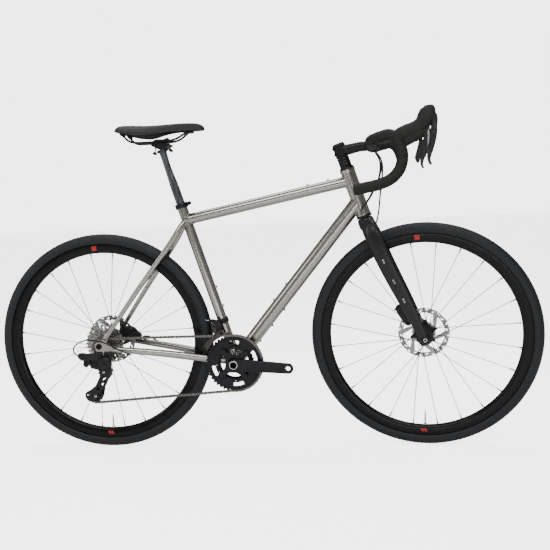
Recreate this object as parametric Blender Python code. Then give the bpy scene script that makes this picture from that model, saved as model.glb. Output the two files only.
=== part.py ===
"""Road bicycle with drop bars, disc brakes and a two-by drivetrain.

X points forward, Y to the rider's left, Z up. Lengths at the top are in
millimetres, with X measured forward from the rear axle; place() turns them
into metres about the middle of the wheelbase. The front end is drawn straight
ahead and then turned as one by the steering pivot.
"""
import math

import bmesh
import bpy
from mathutils import Matrix, Vector

# Driving dimensions, mm
WHEELBASE = 1016.8
WHEEL_R = 351.0
TYRE_R = 19.6
RIM_OUT, RIM_IN = 320.5, 289.5
RIM_HALF = 13.0
HEAD_ANGLE = 71.5
HEAD_MID = (816.3, 0.0, 800.2)
STEER_AT_REST = -6.0
BB = (424.0, 0.0, 283.0)
SEAT_CLUSTER = (284.6, 0.0, 736.6)
SEAT_TOP = (270.0, 0.0, 786.0)
POST_TOP = (219.5, 0.0, 958.0)
CRANK = 170.0
CRANK_DROP = 5.0
PEDAL_HOLE_R = 6.5
BIG_TEETH, SMALL_TEETH, COG_TEETH = 44, 30, 11
RING_Y, COG_Y = -47.0, -64.6
LOWER_PULLEY = (-24.0, -64.0, 190.0)
UPPER_PULLEY = (8.0, -64.0, 268.0)
P_PIVOT = (14.0, -64.0, 300.0)
B_PIVOT = (3.0, -78.0, 322.0)
HOOD_PIVOT = (1028.0, -214.0, 984.0)
PADDLE_PIVOT = (1021.0, -214.0, 972.0)
GAP = 0.3
SPOKES = 12  # on each side of a wheel
STEPS = 48  # facets round a tyre or rim
ROOT_X = WHEELBASE / 2


def place(p):
    return Vector(((p[0] - ROOT_X) / 1000, p[1] / 1000, p[2] / 1000))


for old in list(bpy.data.objects):
    bpy.data.objects.remove(old, do_unlink=True)

BIKE = bpy.data.collections.new("road_bicycle")
CUTTERS = bpy.data.collections.new("cutters")
bpy.context.scene.collection.children.link(BIKE)
bpy.context.scene.collection.children.link(CUTTERS)

STEER_AXIS = Vector((-math.cos(math.radians(HEAD_ANGLE)), 0, math.sin(math.radians(HEAD_ANGLE))))
SEAT_AXIS = (place(SEAT_TOP) - place(BB)).normalized()


def material(name, color, metallic=0.0, roughness=0.5):
    mat = bpy.data.materials.new(name)
    mat.use_nodes = True
    shader = mat.node_tree.nodes["Principled BSDF"]
    shader.inputs["Base Color"].default_value = (*color, 1)
    shader.inputs["Metallic"].default_value = metallic
    shader.inputs["Roughness"].default_value = roughness
    return mat


TITANIUM = (0.42, 0.40, 0.37)
BLACK = (0.02, 0.02, 0.022)
STEEL = (0.5, 0.5, 0.5)


def add(name, bm, color, metallic=0.0, roughness=0.5, keep=True):
    """Turn a bmesh in metres into one named object."""
    bmesh.ops.remove_doubles(bm, verts=bm.verts, dist=1e-6)
    bmesh.ops.recalc_face_normals(bm, faces=bm.faces)
    mesh = bpy.data.meshes.new(name)
    bm.to_mesh(mesh)
    bm.free()
    obj = bpy.data.objects.new(name, mesh)
    if keep:
        mesh.materials.append(material(name, color, metallic, roughness))
        BIKE.objects.link(obj)
    else:
        CUTTERS.objects.link(obj)
        obj.hide_render = True
        obj.display_type = "WIRE"
    return obj


def loft(bm, rings, closed=False):
    """Skin a list of equal rings of points; close the ends or the loop."""
    made = [[bm.verts.new(p) for p in ring] for ring in rings]
    n = len(made[0])
    pairs = list(zip(made, made[1:])) + ([(made[-1], made[0])] if closed else [])
    for a, b in pairs:
        for i in range(n):
            bm.faces.new((a[i], a[(i + 1) % n], b[(i + 1) % n], b[i]))
    if not closed:
        bm.faces.new(made[0][::-1])
        bm.faces.new(made[-1])


def frame_along(points, up=Vector((0, 1, 0))):
    """Two cross directions at each point, carried along the path without twist."""
    out, side, before = [], None, None
    for i in range(len(points)):
        a = points[max(i - 1, 0)]
        b = points[min(i + 1, len(points) - 1)]
        t = (b - a).normalized()
        side = up if side is None else before.rotation_difference(t) @ side
        side = (side - t * side.dot(t)).normalized()
        before = t
        out.append((side, t.cross(side)))
    return out


def tube(bm, path, sizes, sides=12, up=Vector((0, 1, 0))):
    """Tube through path points in mm; each size is a radius or (along up, across)."""
    pts = [place(p) for p in path]
    rings = []
    for p, (side, other), size in zip(pts, frame_along(pts, up), sizes):
        a, b = size if isinstance(size, tuple) else (size, size)
        rings.append([p + side * (a / 1000 * math.cos(t)) + other * (b / 1000 * math.sin(t))
                      for t in (2 * math.pi * (k + 0.5) / sides for k in range(sides))])
    loft(bm, rings)


def turned(bm, centre, axis, profile, sides=24):
    """Closed solid of revolution: profile is (radius, distance along axis) in mm."""
    axis = Vector(axis).normalized()
    u = axis.orthogonal().normalized() if abs(axis.y) < 0.9 else Vector((1, 0, 0))
    v = axis.cross(u)
    c = place(centre)
    solid = profile[0][0] == 0
    ring_pts = [(r, h) for r, h in profile if r > 0]
    rings = []
    for r, h in ring_pts:
        rings.append([c + axis * (h / 1000) + (u * math.cos(t) + v * math.sin(t)) * (r / 1000)
                      for t in (2 * math.pi * k / sides for k in range(sides))])
    loft(bm, rings, closed=not solid)


def rod(bm, a, b, radius, sides=12):
    tube(bm, [a, b], [radius, radius], sides,
         Vector((0, 1, 0)) if abs((place(b) - place(a)).normalized().y) < 0.9 else Vector((1, 0, 0)))


def plate(bm, centre, outline, y0, y1, holes=()):
    """Flat plate in the XZ plane from y0 to y1, outline and holes in mm about the centre."""
    start = len(bm.verts)
    loops = [outline, *holes]
    for y in (y0, y1):
        edges = []
        for loop in loops:
            vs = [bm.verts.new(place((centre[0] + x, y, centre[2] + z))) for x, z in loop]
            edges += [bm.edges.new((vs[i], vs[(i + 1) % len(vs)])) for i in range(len(vs))]
        bmesh.ops.triangle_fill(bm, edges=edges, use_beauty=True)
    bm.verts.ensure_lookup_table()
    half = (len(bm.verts) - start) // 2
    low = start
    for loop in loops:
        n = len(loop)
        for i in range(n):
            j = (i + 1) % n
            bm.faces.new((bm.verts[low + i], bm.verts[low + j],
                          bm.verts[low + half + j], bm.verts[low + half + i]))
        low += n


def circle(r, n, phase=0.0, cx=0.0, cz=0.0):
    return [(cx + r * math.cos(phase + 2 * math.pi * k / n),
             cz + r * math.sin(phase + 2 * math.pi * k / n)) for k in range(n)]


def sector(r0, r1, a0, a1, n=3):
    """Outline of a window between two radii and two angles in degrees."""
    steps = [math.radians(a0 + (a1 - a0) * k / (n - 1)) for k in range(n)]
    return ([(r1 * math.cos(a), r1 * math.sin(a)) for a in steps]
            + [(r0 * math.cos(a), r0 * math.sin(a)) for a in reversed(steps)])


def boolean(obj, others, operation):
    for other in others:
        mod = obj.modifiers.new(operation.lower() + "_" + other.name, "BOOLEAN")
        mod.operation = operation
        mod.solver = "EXACT"
        mod.object = other


def cutter(name, build, *args, **kw):
    bm = bmesh.new()
    build(bm, *args, **kw)
    return add(name, bm, BLACK, keep=False)


def part(name, build, *args, color=BLACK, metallic=0.0, roughness=0.5, **kw):
    bm = bmesh.new()
    build(bm, *args, **kw)
    return add(name, bm, color, metallic, roughness)


def mirrored(p):
    return (p[0], -p[1], p[2])


def along(p, axis, mm):
    """The point mm further along an axis."""
    return (p[0] + axis.x * mm, p[1] + axis.y * mm, p[2] + axis.z * mm)


# ---------------------------------------------------------------- main frame
STEER_LOW = along(HEAD_MID, STEER_AXIS, -76.8)
STEER_TOP = along(HEAD_MID, STEER_AXIS, 76.8)

main_frame = part("main_frame", turned, HEAD_MID, STEER_AXIS, [(0, -74), (22.2, -74), (22.2, 74)],
                  sides=20, color=TITANIUM, metallic=1.0, roughness=0.35)
joined = []
joined.append(cutter("seat_tube", rod, BB, SEAT_TOP, 15.9, 16))
joined.append(cutter("top_tube", rod, SEAT_CLUSTER, (802.0, 0.0, 835.4), 16.8, 16))
joined.append(cutter("down_tube", rod, (430.0, 0.0, 289.0), (818.0, 0.0, 764.9), 21.9, 16))
joined.append(cutter("bb_shell", turned, BB, (0, 1, 0), [(0, -34), (21, -34), (21, 34)], 20))
for side, s in (("right", 1), ("left", -1)):
    joined.append(cutter("chainstay_" + side, tube,
                         [(418, -22 * s, 284), (330, -33 * s, 297), (210, -50 * s, 318),
                          (120, -63 * s, 331), (24, -74.4 * s, 343)],
                         [(9, 12), (8, 12), (9, 11), (9, 10), (6, 8)], sides=10))
    joined.append(cutter("seatstay_" + side, tube,
                         [(281, -10 * s, 733), (232, -33 * s, 660), (125, -56 * s, 518),
                          (20, -74.8 * s, 372)], [8.5, 8.5, 8, 6.0], sides=10))
    drop = [(-14, 2), (-8, -13), (4, -16), (20, -12), (40, -14), (44, -4), (30, 4),
            (34, 40), (22, 40), (6, 16), (-8, 14)]
    if s > 0:
        drop = [(-14, 2), (-9, -14), (-6, -34), (4, -38), (13, -32), (14, -14), (40, -16),
                (44, -4), (30, 4), (34, 40), (22, 40), (6, 16), (-8, 14)]
    y = sorted((-71.3 * s, -77.5 * s))
    joined.append(cutter("dropout_" + side, plate, (0, 0, 351), drop, y[0], y[1]))
joined.append(cutter("stay_bridge", rod, (226, -36, 652), (226, 36, 652), 6, 8))
joined.append(cutter("chainstay_bridge", rod, (363, -32, 292), (363, 32, 292), 6, 8))
UNDER = Vector((math.sin(math.radians(50.8)), 0, -math.cos(math.radians(50.8))))
OVER = -UNDER
FORE = Vector((math.sin(math.radians(73.0)), 0, math.cos(math.radians(73.0))))


def boss(name, p, axis, out):
    return cutter(name, rod, along(p, axis, -4), along(p, axis, out), 4.6, 10)


down_axis = Vector((388.0, 0, 475.9)).normalized()
for i, mm in enumerate((88, 152, 216)):
    foot = along((430.0, 0.0, 289.0), down_axis, mm)
    joined.append(boss("under_boss_%d" % i, along(foot, UNDER, 21.9), UNDER, 3.2))
for i, mm in enumerate((221, 285)):
    foot = along((430.0, 0.0, 289.0), down_axis, mm)
    joined.append(boss("down_boss_%d" % i, along(foot, OVER, 21.9), OVER, 3.2))
for i, mm in enumerate((180, 244)):
    foot = along(BB, SEAT_AXIS, mm)
    joined.append(boss("seat_boss_%d" % i, along(foot, FORE, 15.9), FORE, 3.2))
top_axis = Vector((517.4, 0, 98.8)).normalized()
TOP_OUT = Vector((-top_axis.z, 0, top_axis.x))
for i, mm in enumerate((396, 460)):
    foot = along(SEAT_CLUSTER, top_axis, mm)
    joined.append(boss("top_boss_%d" % i, along(foot, TOP_OUT, 16.8), TOP_OUT, 3.2))
boolean(main_frame, joined, "UNION")
boolean(main_frame, [
    cutter("head_bore", rod, along(HEAD_MID, STEER_AXIS, -80), along(HEAD_MID, STEER_AXIS, 80), 18, 16),
    cutter("shell_bore", rod, (424, -40, 283), (424, 40, 283), 17.4, 16),
    cutter("post_bore", rod, along(SEAT_TOP, SEAT_AXIS, 2), along(SEAT_TOP, SEAT_AXIS, -300), 14.0, 16),
    cutter("axle_bore", rod, (0, -85, 351), (0, 85, 351), 6.6, 12),
], "DIFFERENCE")

seat_collar = part("seat_collar", turned, SEAT_TOP, SEAT_AXIS,
                   [(16.3, -13), (20.2, -13), (20.2, 2), (16.3, 2)], 20,
                   color=(0.03, 0.035, 0.06), metallic=0.6)
boolean(seat_collar, [cutter("collar_ear", plate, (290, 0, 785), [(2.5, -10), (13, -7), (13, 3), (1, 3)],
                             -9, 9)], "UNION")
for side, s in (("right", 1), ("left", -1)):
    part("bb_cup_" + side, turned, (424, -34.4 * s, 283), (0, -s, 0),
         [(12.6, 0), (20.5, 0), (20.5, 8), (12.6, 8)], 20, color=BLACK, metallic=0.5)
part("headset_upper", turned, along(HEAD_MID, STEER_AXIS, 74.3), STEER_AXIS,
     [(14.8, 0), (22.0, 0), (22.0, 5), (17.5, 9), (14.8, 9)], 20, color=BLACK, metallic=0.3)
part("headset_lower", turned, along(HEAD_MID, STEER_AXIS, -74.3), -STEER_AXIS,
     [(15.3, 0), (22.6, 0), (23.0, 8), (15.3, 8)], 20, color=BLACK, metallic=0.3)
part("rear_axle", turned, (0, 0, 351), (0, -1, 0),
     [(0, -77), (6.2, -77), (6.2, 77.9), (9.5, 77.9), (9.5, 80), (0.001, 80)], 12,
     color=(0.06, 0.06, 0.06), metallic=0.6)
part("rear_caliper", plate, (62, 0, 370), [(-26, -14), (10, -22), (34, -20), (36, -6), (12, 10), (-10, 22),
                                           (-26, 14)], 36.5, 62, color=BLACK, roughness=0.4)
boolean(bpy.data.objects["rear_caliper"], [cutter("rear_pad_slot", turned, (0, 43, 351), (0, 1, 0),
                                                  [(0, -2.2), (82, -2.2), (82, 2.2)], 32)], "DIFFERENCE")

# ---------------------------------------------------------------- seat
POST_AXIS = (place(POST_TOP) - place(SEAT_TOP)).normalized()
part("seatpost", tube, [along(SEAT_TOP, SEAT_AXIS, -150), along(SEAT_TOP, SEAT_AXIS, 60),
                        along(SEAT_TOP, SEAT_AXIS, 100), POST_TOP],
     [13.6, 13.6, 12.0, 11.2], 16, color=(0.05, 0.052, 0.055), metallic=0.7, roughness=0.4)
part("saddle_clamp", plate, (221, 0, 967), [(-30, -9), (-22, -12), (-12, -5.2), (16, -5.2), (26, -4), (30, 4),
                                            (20, 9), (-20, 9), (-30, 2)], -26, 26,
     color=(0.03, 0.03, 0.03), metallic=0.5)


def rails(bm):
    path = [(104, -35, 1010), (125, -30, 984), (170, -22, 981.5), (262, -22, 982.5), (292, -17, 994),
            (312, -8, 998.5), (316, 0, 999)]
    both = path + [mirrored(p) for p in path[-2::-1]]
    tube(bm, both, [3.5] * len(both), 6, Vector((0, 0, 1)))
    bmesh.ops.translate(bm, verts=bm.verts, vec=(0, 0, -0.0012))


part("saddle_rails", rails, color=(0.03, 0.03, 0.03), metallic=0.6)


def saddle(bm):
    """Lofted pad: crowned top, dropped side flaps, hollow underneath."""
    stations = [(79, 34, 1027, 1008, 16), (92, 62, 1035, 1001, 30), (122, 70, 1037, 990, 38),
                (160, 65, 1036, 987, 38), (200, 52, 1034.6, 986, 32), (240, 34, 1035, 992, 20),
                (285, 22, 1037, 1003, 12), (330, 19, 1035, 1004, 8), (352, 14, 1028, 1005, 5),
                (357.7, 7, 1018, 1009, 2)]
    rings = []
    for x, w, top, low, inset in stations:
        deck = top - max(5.0, 0.28 * (top - low))
        ring = [(w, low), (w * 0.98, low + 0.62 * (top - low)), (w * 0.72, top - 3), (0, top - 1.2),
                (-w * 0.72, top - 3), (-w * 0.98, low + 0.62 * (top - low)), (-w, low),
                (-w * 0.86, low + 0.1), (-w * 0.6, deck - 4), (w * 0.6, deck - 4), (w * 0.86, low + 0.1)]
        if inset < 14:
            ring[8], ring[9] = (-w * 0.6, low + 0.3), (w * 0.6, low + 0.3)
        rings.append([place((x, y, z)) for y, z in ring])
    loft(bm, rings)


part("saddle", saddle, color=(0.015, 0.015, 0.015), roughness=0.6)

# ---------------------------------------------------------------- wheels
ROTOR_ARMS = 6


def tyre(bm, cx):
    c = WHEEL_R - TYRE_R
    prof = [(c + TYRE_R * math.cos(math.radians(a)), 1.02 * TYRE_R * math.sin(math.radians(a)))
            for a in (0, 45, 90, 140)]
    prof += [(prof[-1][0], -prof[-1][1])] + [(r, -y) for r, y in prof[2:0:-1]]
    prof = [(max(r, RIM_OUT + GAP), y) for r, y in prof]
    turned(bm, (cx, 0, WHEEL_R), (0, 1, 0), prof, STEPS)


def rim(bm, cx):
    prof = [(RIM_OUT, -RIM_HALF + 2), (RIM_OUT, RIM_HALF - 2), (RIM_OUT - 7, RIM_HALF),
            (RIM_IN, 7), (RIM_IN, -7), (RIM_OUT - 7, -RIM_HALF)]
    turned(bm, (cx, 0, WHEEL_R), (0, 1, 0), prof, STEPS)


def spoke_set(name, cx, y_hub, hub_r, y_rim, phase):
    """Twelve tangential spokes rising from one ring round the hub flange."""
    ring = part(name, turned, (cx, y_hub, WHEEL_R), (0, 1, 0),
                [(hub_r - 3, -1.5), (hub_r + 1.5, -1.5), (hub_r + 1.5, 1.5), (hub_r - 3, 1.5)], 22,
                color=(0.6, 0.6, 0.6), metallic=1.0)
    for lean in (-37, 37):
        bars = bmesh.new()
        for k in range(SPOKES // 2):
            out = math.radians(phase + 720 / SPOKES * k + (30 if lean > 0 else 0))
            start = out + math.radians(lean)
            r, far = hub_r - 1.1, RIM_IN - GAP - 0.7
            step = 0.13 if lean < 0 else -0.19
            a = (cx + r * math.cos(start), y_hub + step, WHEEL_R + r * math.sin(start))
            b = (cx + far * math.cos(out), y_rim + step, WHEEL_R + far * math.sin(out))
            tube(bars, [a, b], [1.1, 1.1] if lean < 0 else [1.0, 1.0], 4)
        kind = "leading" if lean < 0 else "trailing"
        boolean(ring, [add("%s_%s" % (name, kind), bars, BLACK, keep=False)], "UNION")


def rotor(bm, cx, y, phase):
    outline = []
    for k in range(36):
        a = 2 * math.pi * k / 36
        outline.append((math.cos(a) * (80 - 1.6 * (k % 2)), math.sin(a) * (80 - 1.6 * (k % 2))))
    holes = [circle(22.4, 16)]
    for k in range(ROTOR_ARMS):
        a = phase + 60 * k
        holes.append(sector(31, 63, a + 6, a + 49, 3))
    plate(bm, (cx, 0, WHEEL_R), outline, y - 0.9, y + 0.9, holes)


HUB_FRONT = [(7.9, -49.5), (11, -49.5), (11, -32), (19.5, -31), (19.5, -27), (12, -23), (12, 20), (19.5, 24),
             (19.5, 28), (20, 28), (20, 42), (11, 42), (11, 49.5), (7.9, 49.5)]
HUB_REAR = [(7.9, -70.5), (10, -70.5), (10, -68.5), (16.2, -68.5), (16.2, -22), (22.5, -21), (22.5, -17),
            (14, -12), (14, 26), (22.5, 31), (22.5, 35), (20, 35), (20, 50), (11, 50), (11, 70.5),
            (7.9, 70.5)]
for name, cx, prof, flange, y_rotor, hr in (
        ("front", WHEELBASE, HUB_FRONT, (-29, 26), 35.5, 19.5),
        ("rear", 0.0, HUB_REAR, (-19, 33), 43.0, 22.5)):
    part(name + "_tyre", tyre, cx, color=(0.012, 0.013, 0.015), roughness=0.8)
    part(name + "_rim", rim, cx, color=(0.01, 0.01, 0.011), metallic=0.4, roughness=0.25)
    part(name + "_hub", turned, (cx, 0, WHEEL_R), (0, 1, 0), prof, 16, color=BLACK, metallic=0.5)
    spoke_set(name + "_spokes_right", cx, flange[0], hr + 3.6, -3.5, 82.5)
    spoke_set(name + "_spokes_left", cx, flange[1], hr + 3.6, 3.5, 97.5)
    part(name + "_rotor", rotor, cx, y_rotor, 12.0, color=STEEL, metallic=1.0, roughness=0.3)
    part(name + "_valve", turned, (cx, 0, WHEEL_R - RIM_IN + GAP), (0, 0, 1),
         [(0, 0), (3.1, 0), (3.1, 4), (2.4, 5), (2.4, 38), (1.4, 40), (1.4, 44)], 8,
         color=(0.7, 0.7, 0.7), metallic=1.0)

# ---------------------------------------------------------------- drivetrain
COGS = [30, 25, 21, 18, 15, 13]
profile = [(16.6, -23)]
for i, teeth in enumerate(COGS):
    r = teeth * 12.7 / (2 * math.pi) + 2.0
    profile += [(r, -23 - 6.05 * i), (r, -23 - 6.05 * (i + 1))]
profile += [(18.1, -59.3), (18.1, -66.4), (16.6, -66.4)]
part("cassette", turned, (0, 0, 351), (0, 1, 0), profile, 24, color=STEEL, metallic=1.0, roughness=0.35)


def ring_outline(teeth, tip, root):
    out = []
    for k in range(teeth):
        for f, r in ((0.0, tip), (0.5, root)):
            a = 2 * math.pi * (k + f) / teeth
            out.append((r * math.cos(a), r * math.sin(a)))
    return out


big = [circle(48.0, 20)] + [sector(57, 77, a, a + 42, 4) for a in (14, 104, 194, 284)]
part("large_chainring", plate, BB, ring_outline(BIG_TEETH, 89.6, 85.6), RING_Y - 1.2, RING_Y + 1.2,
     big, color=BLACK, metallic=0.6, roughness=0.35)
part("small_chainring", plate, BB, ring_outline(SMALL_TEETH, 62.3, 58.3), RING_Y + 6.6, RING_Y + 8.8,
     [circle(46.0, 20)], color=BLACK, metallic=0.6)


ARM_RIGHT_Y = (-73.0, -58.5)
ARM_LEFT_Y = (58.5, 73.0)


def turned_outline(points, degrees):
    c, s = math.cos(math.radians(degrees)), math.sin(math.radians(degrees))
    return [(x * c - z * s, x * s + z * c) for x, z in points]


def arm(bm, degrees, y0, y1, holes=()):
    """Crank arm from the axle to the pedal hole, 36 mm deep at the axle and 32 mm at the pedal."""
    outline = [(-13, 13), (0, 18.5), (24, 18.5), (CRANK - 14, 15), (CRANK, 16), (CRANK + 11, 11.5),
               (CRANK + 16, 0), (CRANK + 11, -11.5), (CRANK, -16), (CRANK - 14, -15), (24, -18.5),
               (0, -18.5), (-13, -13)]
    holes = [turned_outline(h, degrees) for h in (circle(PEDAL_HOLE_R, 12, cx=CRANK), *holes)]
    plate(bm, BB, turned_outline(outline, degrees), y0, y1, holes)


def spider(bm):
    """Four legs reaching out to the chainring bolts."""
    outline = []
    for a in (45, 135, 225, 315):
        m = math.radians(a)
        for off, r in ((-30, 24), (-8.5, 56), (8.5, 56), (30, 24)):
            outline.append((r * math.cos(m + math.radians(off)), r * math.sin(m + math.radians(off))))
    plate(bm, BB, turned_outline(outline, -CRANK_DROP), -59.5, -52.5)


crank_right = part("crank_right", arm, -CRANK_DROP, *ARM_RIGHT_Y, color=(0.03, 0.031, 0.034), metallic=0.4)
boolean(crank_right, [
    cutter("spider", spider),
    cutter("spindle", turned, BB, (0, 1, 0),
           [(0, -74.5), (13.5, -74.5), (13.5, -60), (12.0, -50), (12.0, 66)], 20),
], "UNION")
part("crank_left", arm, 180 - CRANK_DROP, *ARM_LEFT_Y, [circle(12.4, 20)], color=(0.03, 0.031, 0.034),
     metallic=0.4)

RING_R = BIG_TEETH * 12.7 / (2 * math.pi)
COG_R = COG_TEETH * 12.7 / (2 * math.pi)
PULLEY_R = 22.3


def belt_points(shift, spread):
    """Centre line of the chain, offset outwards by shift and sideways by spread."""
    pts = []

    def arc(c, r, a0, a1, n, y):
        for k in range(n):
            a = math.radians(a0 + (a1 - a0) * k / (n - 1))
            pts.append((c[0] + r * math.cos(a), y + spread, c[2] + r * math.sin(a)))

    arc(BB, RING_R + 2.6 + shift, -95, 95, 14, RING_Y)
    arc((0, 0, 351), COG_R + 4 + shift, 88, 190, 6, COG_Y)
    arc((0, 0, 351), COG_R + 4 + shift, 205, 224, 2, COG_Y)
    arc(UPPER_PULLEY, PULLEY_R + 4 - shift, 44, -61, 5, COG_Y)
    arc(LOWER_PULLEY, PULLEY_R + 4 + shift, 119, 276, 7, COG_Y)
    return pts


def chain(bm):
    corners = [belt_points(1.2, -3.2), belt_points(1.2, 3.2), belt_points(-1.2, 3.2), belt_points(-1.2, -3.2)]
    loft(bm, [[place(c[i]) for c in corners] for i in range(len(corners[0]))], closed=True)


part("chain", chain, color=(0.25, 0.24, 0.22), metallic=1.0, roughness=0.4)

# ---------------------------------------------------------------- derailleurs
part("fd_clamp", turned, along(BB, SEAT_AXIS, 135), SEAT_AXIS,
     [(16.3, -9), (20, -9), (20, 9), (16.3, 9)], 16, color=BLACK)
boolean(bpy.data.objects["fd_clamp"], [
    cutter("fd_block", plate, (372, 0, 402), [(-18, -20), (-6, -26), (12, -16), (10, 10), (-17, 14)],
           -40, -16)], "UNION")
fd_cage = part("fd_cage", plate, BB, sector(96, 116, 107, 155, 6), -56, -54.5, color=(0.3, 0.29, 0.27),
               metallic=1.0)
boolean(fd_cage, [
    cutter("cage_inboard", plate, BB, sector(96, 112, 107, 154, 6), -43, -41.5),
    cutter("cage_bridge", plate, BB, sector(109, 114, 108, 115, 3), -55.2, -42),
    cutter("cage_tail", plate, BB, sector(101, 107, 149, 153, 3), -55.2, -42)], "UNION")

part("rd_body", plate, (0, 0, 312),
     [(-10, 14), (-34, 22), (-62, 24), (-66, 8), (-44, -4), (-26, -10), (-6, -6), (6, 2), (6, 12)],
     -92, -78.2, color=BLACK, roughness=0.4)
part("rd_link", plate, (0, 0, 300), [(-30, -4), (-26, -18), (8, -20), (12, -6), (-12, 1)], -77.8, -72.3,
     color=BLACK)
part("rd_cage", plate, (0, 0, 0),
     [(4, 310), (24, 310), (34, 302), (30, 276), (10, 214), (2, 180), (-14, 166), (-40, 170),
      (-58, 196), (-40, 206), (-18, 214), (-6, 262), (-2, 284), (-4, 304)], -72, -69,
     color=BLACK, roughness=0.4)
boolean(bpy.data.objects["rd_cage"], [
    cutter("cage_axle_low", turned, LOWER_PULLEY, (0, 1, 0), [(0, -6), (2.5, -6), (2.5, 8)], 8),
    cutter("cage_axle_high", turned, UPPER_PULLEY, (0, 1, 0), [(0, -6), (2.5, -6), (2.5, 8)], 8),
    cutter("cage_inner", plate, (0, 0, 0),
           [(14, 276), (18, 262), (-6, 184), (-24, 178), (-36, 188), (-8, 262), (-2, 274)], -58.5, -56.5),
], "UNION")
for name, c in (("upper_pulley", UPPER_PULLEY), ("lower_pulley", LOWER_PULLEY)):
    part(name, plate, c, ring_outline(11, 22.3, 19.3), COG_Y - 2, COG_Y + 2, [circle(2.9, 10)], color=BLACK)

# ---------------------------------------------------------------- front end
crown = along(HEAD_MID, STEER_AXIS, -83)
fork = part("fork", rod, along(crown, STEER_AXIS, -20), along(HEAD_MID, STEER_AXIS, 152), 14.3, 16,
            color=(0.015, 0.015, 0.016), roughness=0.45)
legs = [cutter("fork_crown", turned, crown, -STEER_AXIS, [(0, 0.3), (22.5, 0.3), (26, 16), (24, 34)], 16)]
for side, s in (("right", 1), ("left", -1)):
    legs.append(cutter("fork_leg_" + side, tube,
                       [(850, -14 * s, 702), (858, -34 * s, 686), (878, -48 * s, 640), (922, -54 * s, 548),
                        (966, -56 * s, 464), (1000, -56 * s, 392), (1014, -55.3 * s, 340)],
                       [(13, 19), (13, 22), (10, 25), (8.5, 24), (7.5, 21), (6.5, 17), (4.8, 12)], sides=12))
boolean(fork, legs, "UNION")
boolean(fork, [cutter("fork_axle_bore", rod, (WHEELBASE, -70, 351), (WHEELBASE, 70, 351), 6.6, 12)],
        "DIFFERENCE")
BAR = (870.0, 0.0, 938.0)
part("headset_spacers", turned, along(HEAD_MID, STEER_AXIS, 83.7), STEER_AXIS,
     [(14.8, 0), (18.3, 0), (18.3, 28), (14.8, 28)], 20, color=BLACK, metallic=0.3)
stem_mid = along(HEAD_MID, STEER_AXIS, 133)
stem = part("stem", turned, stem_mid, STEER_AXIS,
            [(14.8, -20.5), (19.5, -20.5), (19.5, 20.5), (14.8, 20.5)], 20,
            color=(0.02, 0.021, 0.026), metallic=0.3)
boolean(stem, [cutter("stem_body", tube, [(stem_mid[0], 0, stem_mid[2] + 2), (848, 0, 937)],
                      [(15, 17), (14, 15)], sides=12),
               cutter("stem_head", rod, (868, -23, 938), (868, 23, 938), 20.5, 16)], "UNION")
boolean(stem, [cutter("steerer_clear", rod, along(stem_mid, STEER_AXIS, -33),
                      along(stem_mid, STEER_AXIS, 37), 14.6, 16),
               cutter("bar_clear", rod, (BAR[0], -30, BAR[2]), (BAR[0], 30, BAR[2]), 16.3, 20),
               cutter("stem_face", plate, BAR, [(2, -40), (40, -40), (40, 40), (2, 40)], -40, 40)],
        "DIFFERENCE")
part("stem_faceplate", plate, BAR,
     [(2.4, 16.3)] + [(16.3 * math.cos(math.radians(a)), 16.3 * math.sin(math.radians(a)))
                      for a in (72, 48, 24, 0, -24, -48, -72)]
     + [(2.4, -16.3), (2.4, -21), (12, -20), (21.5, -10), (21.5, 10), (12, 20), (2.4, 21)], -22, 22,
     color=(0.2, 0.2, 0.2), metallic=0.6)
part("top_cap", turned, along(HEAD_MID, STEER_AXIS, 153.8), STEER_AXIS,
     [(0, 0), (18.0, 0), (16, 4), (0.001, 4)], 16, color=BLACK)
GRIP_R = 15.6


def bar_path(s):
    return [(BAR[0], 0, BAR[2]), (BAR[0], -34 * s, BAR[2]), (BAR[0], -46 * s, BAR[2]),
            (BAR[0], -66 * s, BAR[2]), (BAR[0] + 1, -150 * s, BAR[2] + 2),
            (BAR[0] + 8, -184 * s, BAR[2] + 4), (BAR[0] + 26, -202 * s, BAR[2] + 9),
            (924, -208 * s, 951), (945, -211 * s, 934), (956.6, -214 * s, 897), (950, -218 * s, 862),
            (928, -222 * s, 836), (895, -227 * s, 821.5), (862, -231 * s, 815), (828.3, -235 * s, 809.8)]


BAR_LINE = bar_path(1)[::-1] + bar_path(-1)[1:]
BAR_UP = Vector((-0.3, 0, 1))


def bar(bm):
    middle = len(BAR_LINE) // 2
    tube(bm, BAR_LINE, [15.9 if abs(i - middle) < 2 else 11.9 for i in range(len(BAR_LINE))], 9, BAR_UP)


part("handlebar", bar, color=BLACK, metallic=0.4)


def grip(bm, first):
    """Wrapped tape: a sleeve around one side of the bar, open at both ends."""
    pts = [place(p) for p in BAR_LINE]
    outer, inner = [], []
    for p, (side, other) in list(zip(pts, frame_along(pts, BAR_UP)))[first:first + 12]:
        for rings, r in ((outer, GRIP_R), (inner, 13.2)):
            rings.append([p + (side * math.cos(t) + other * math.sin(t)) * (r / 1000)
                          for t in (2 * math.pi * (k + 0.5) / 9 for k in range(9))])
    loft(bm, outer + inner[::-1], closed=True)


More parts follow.
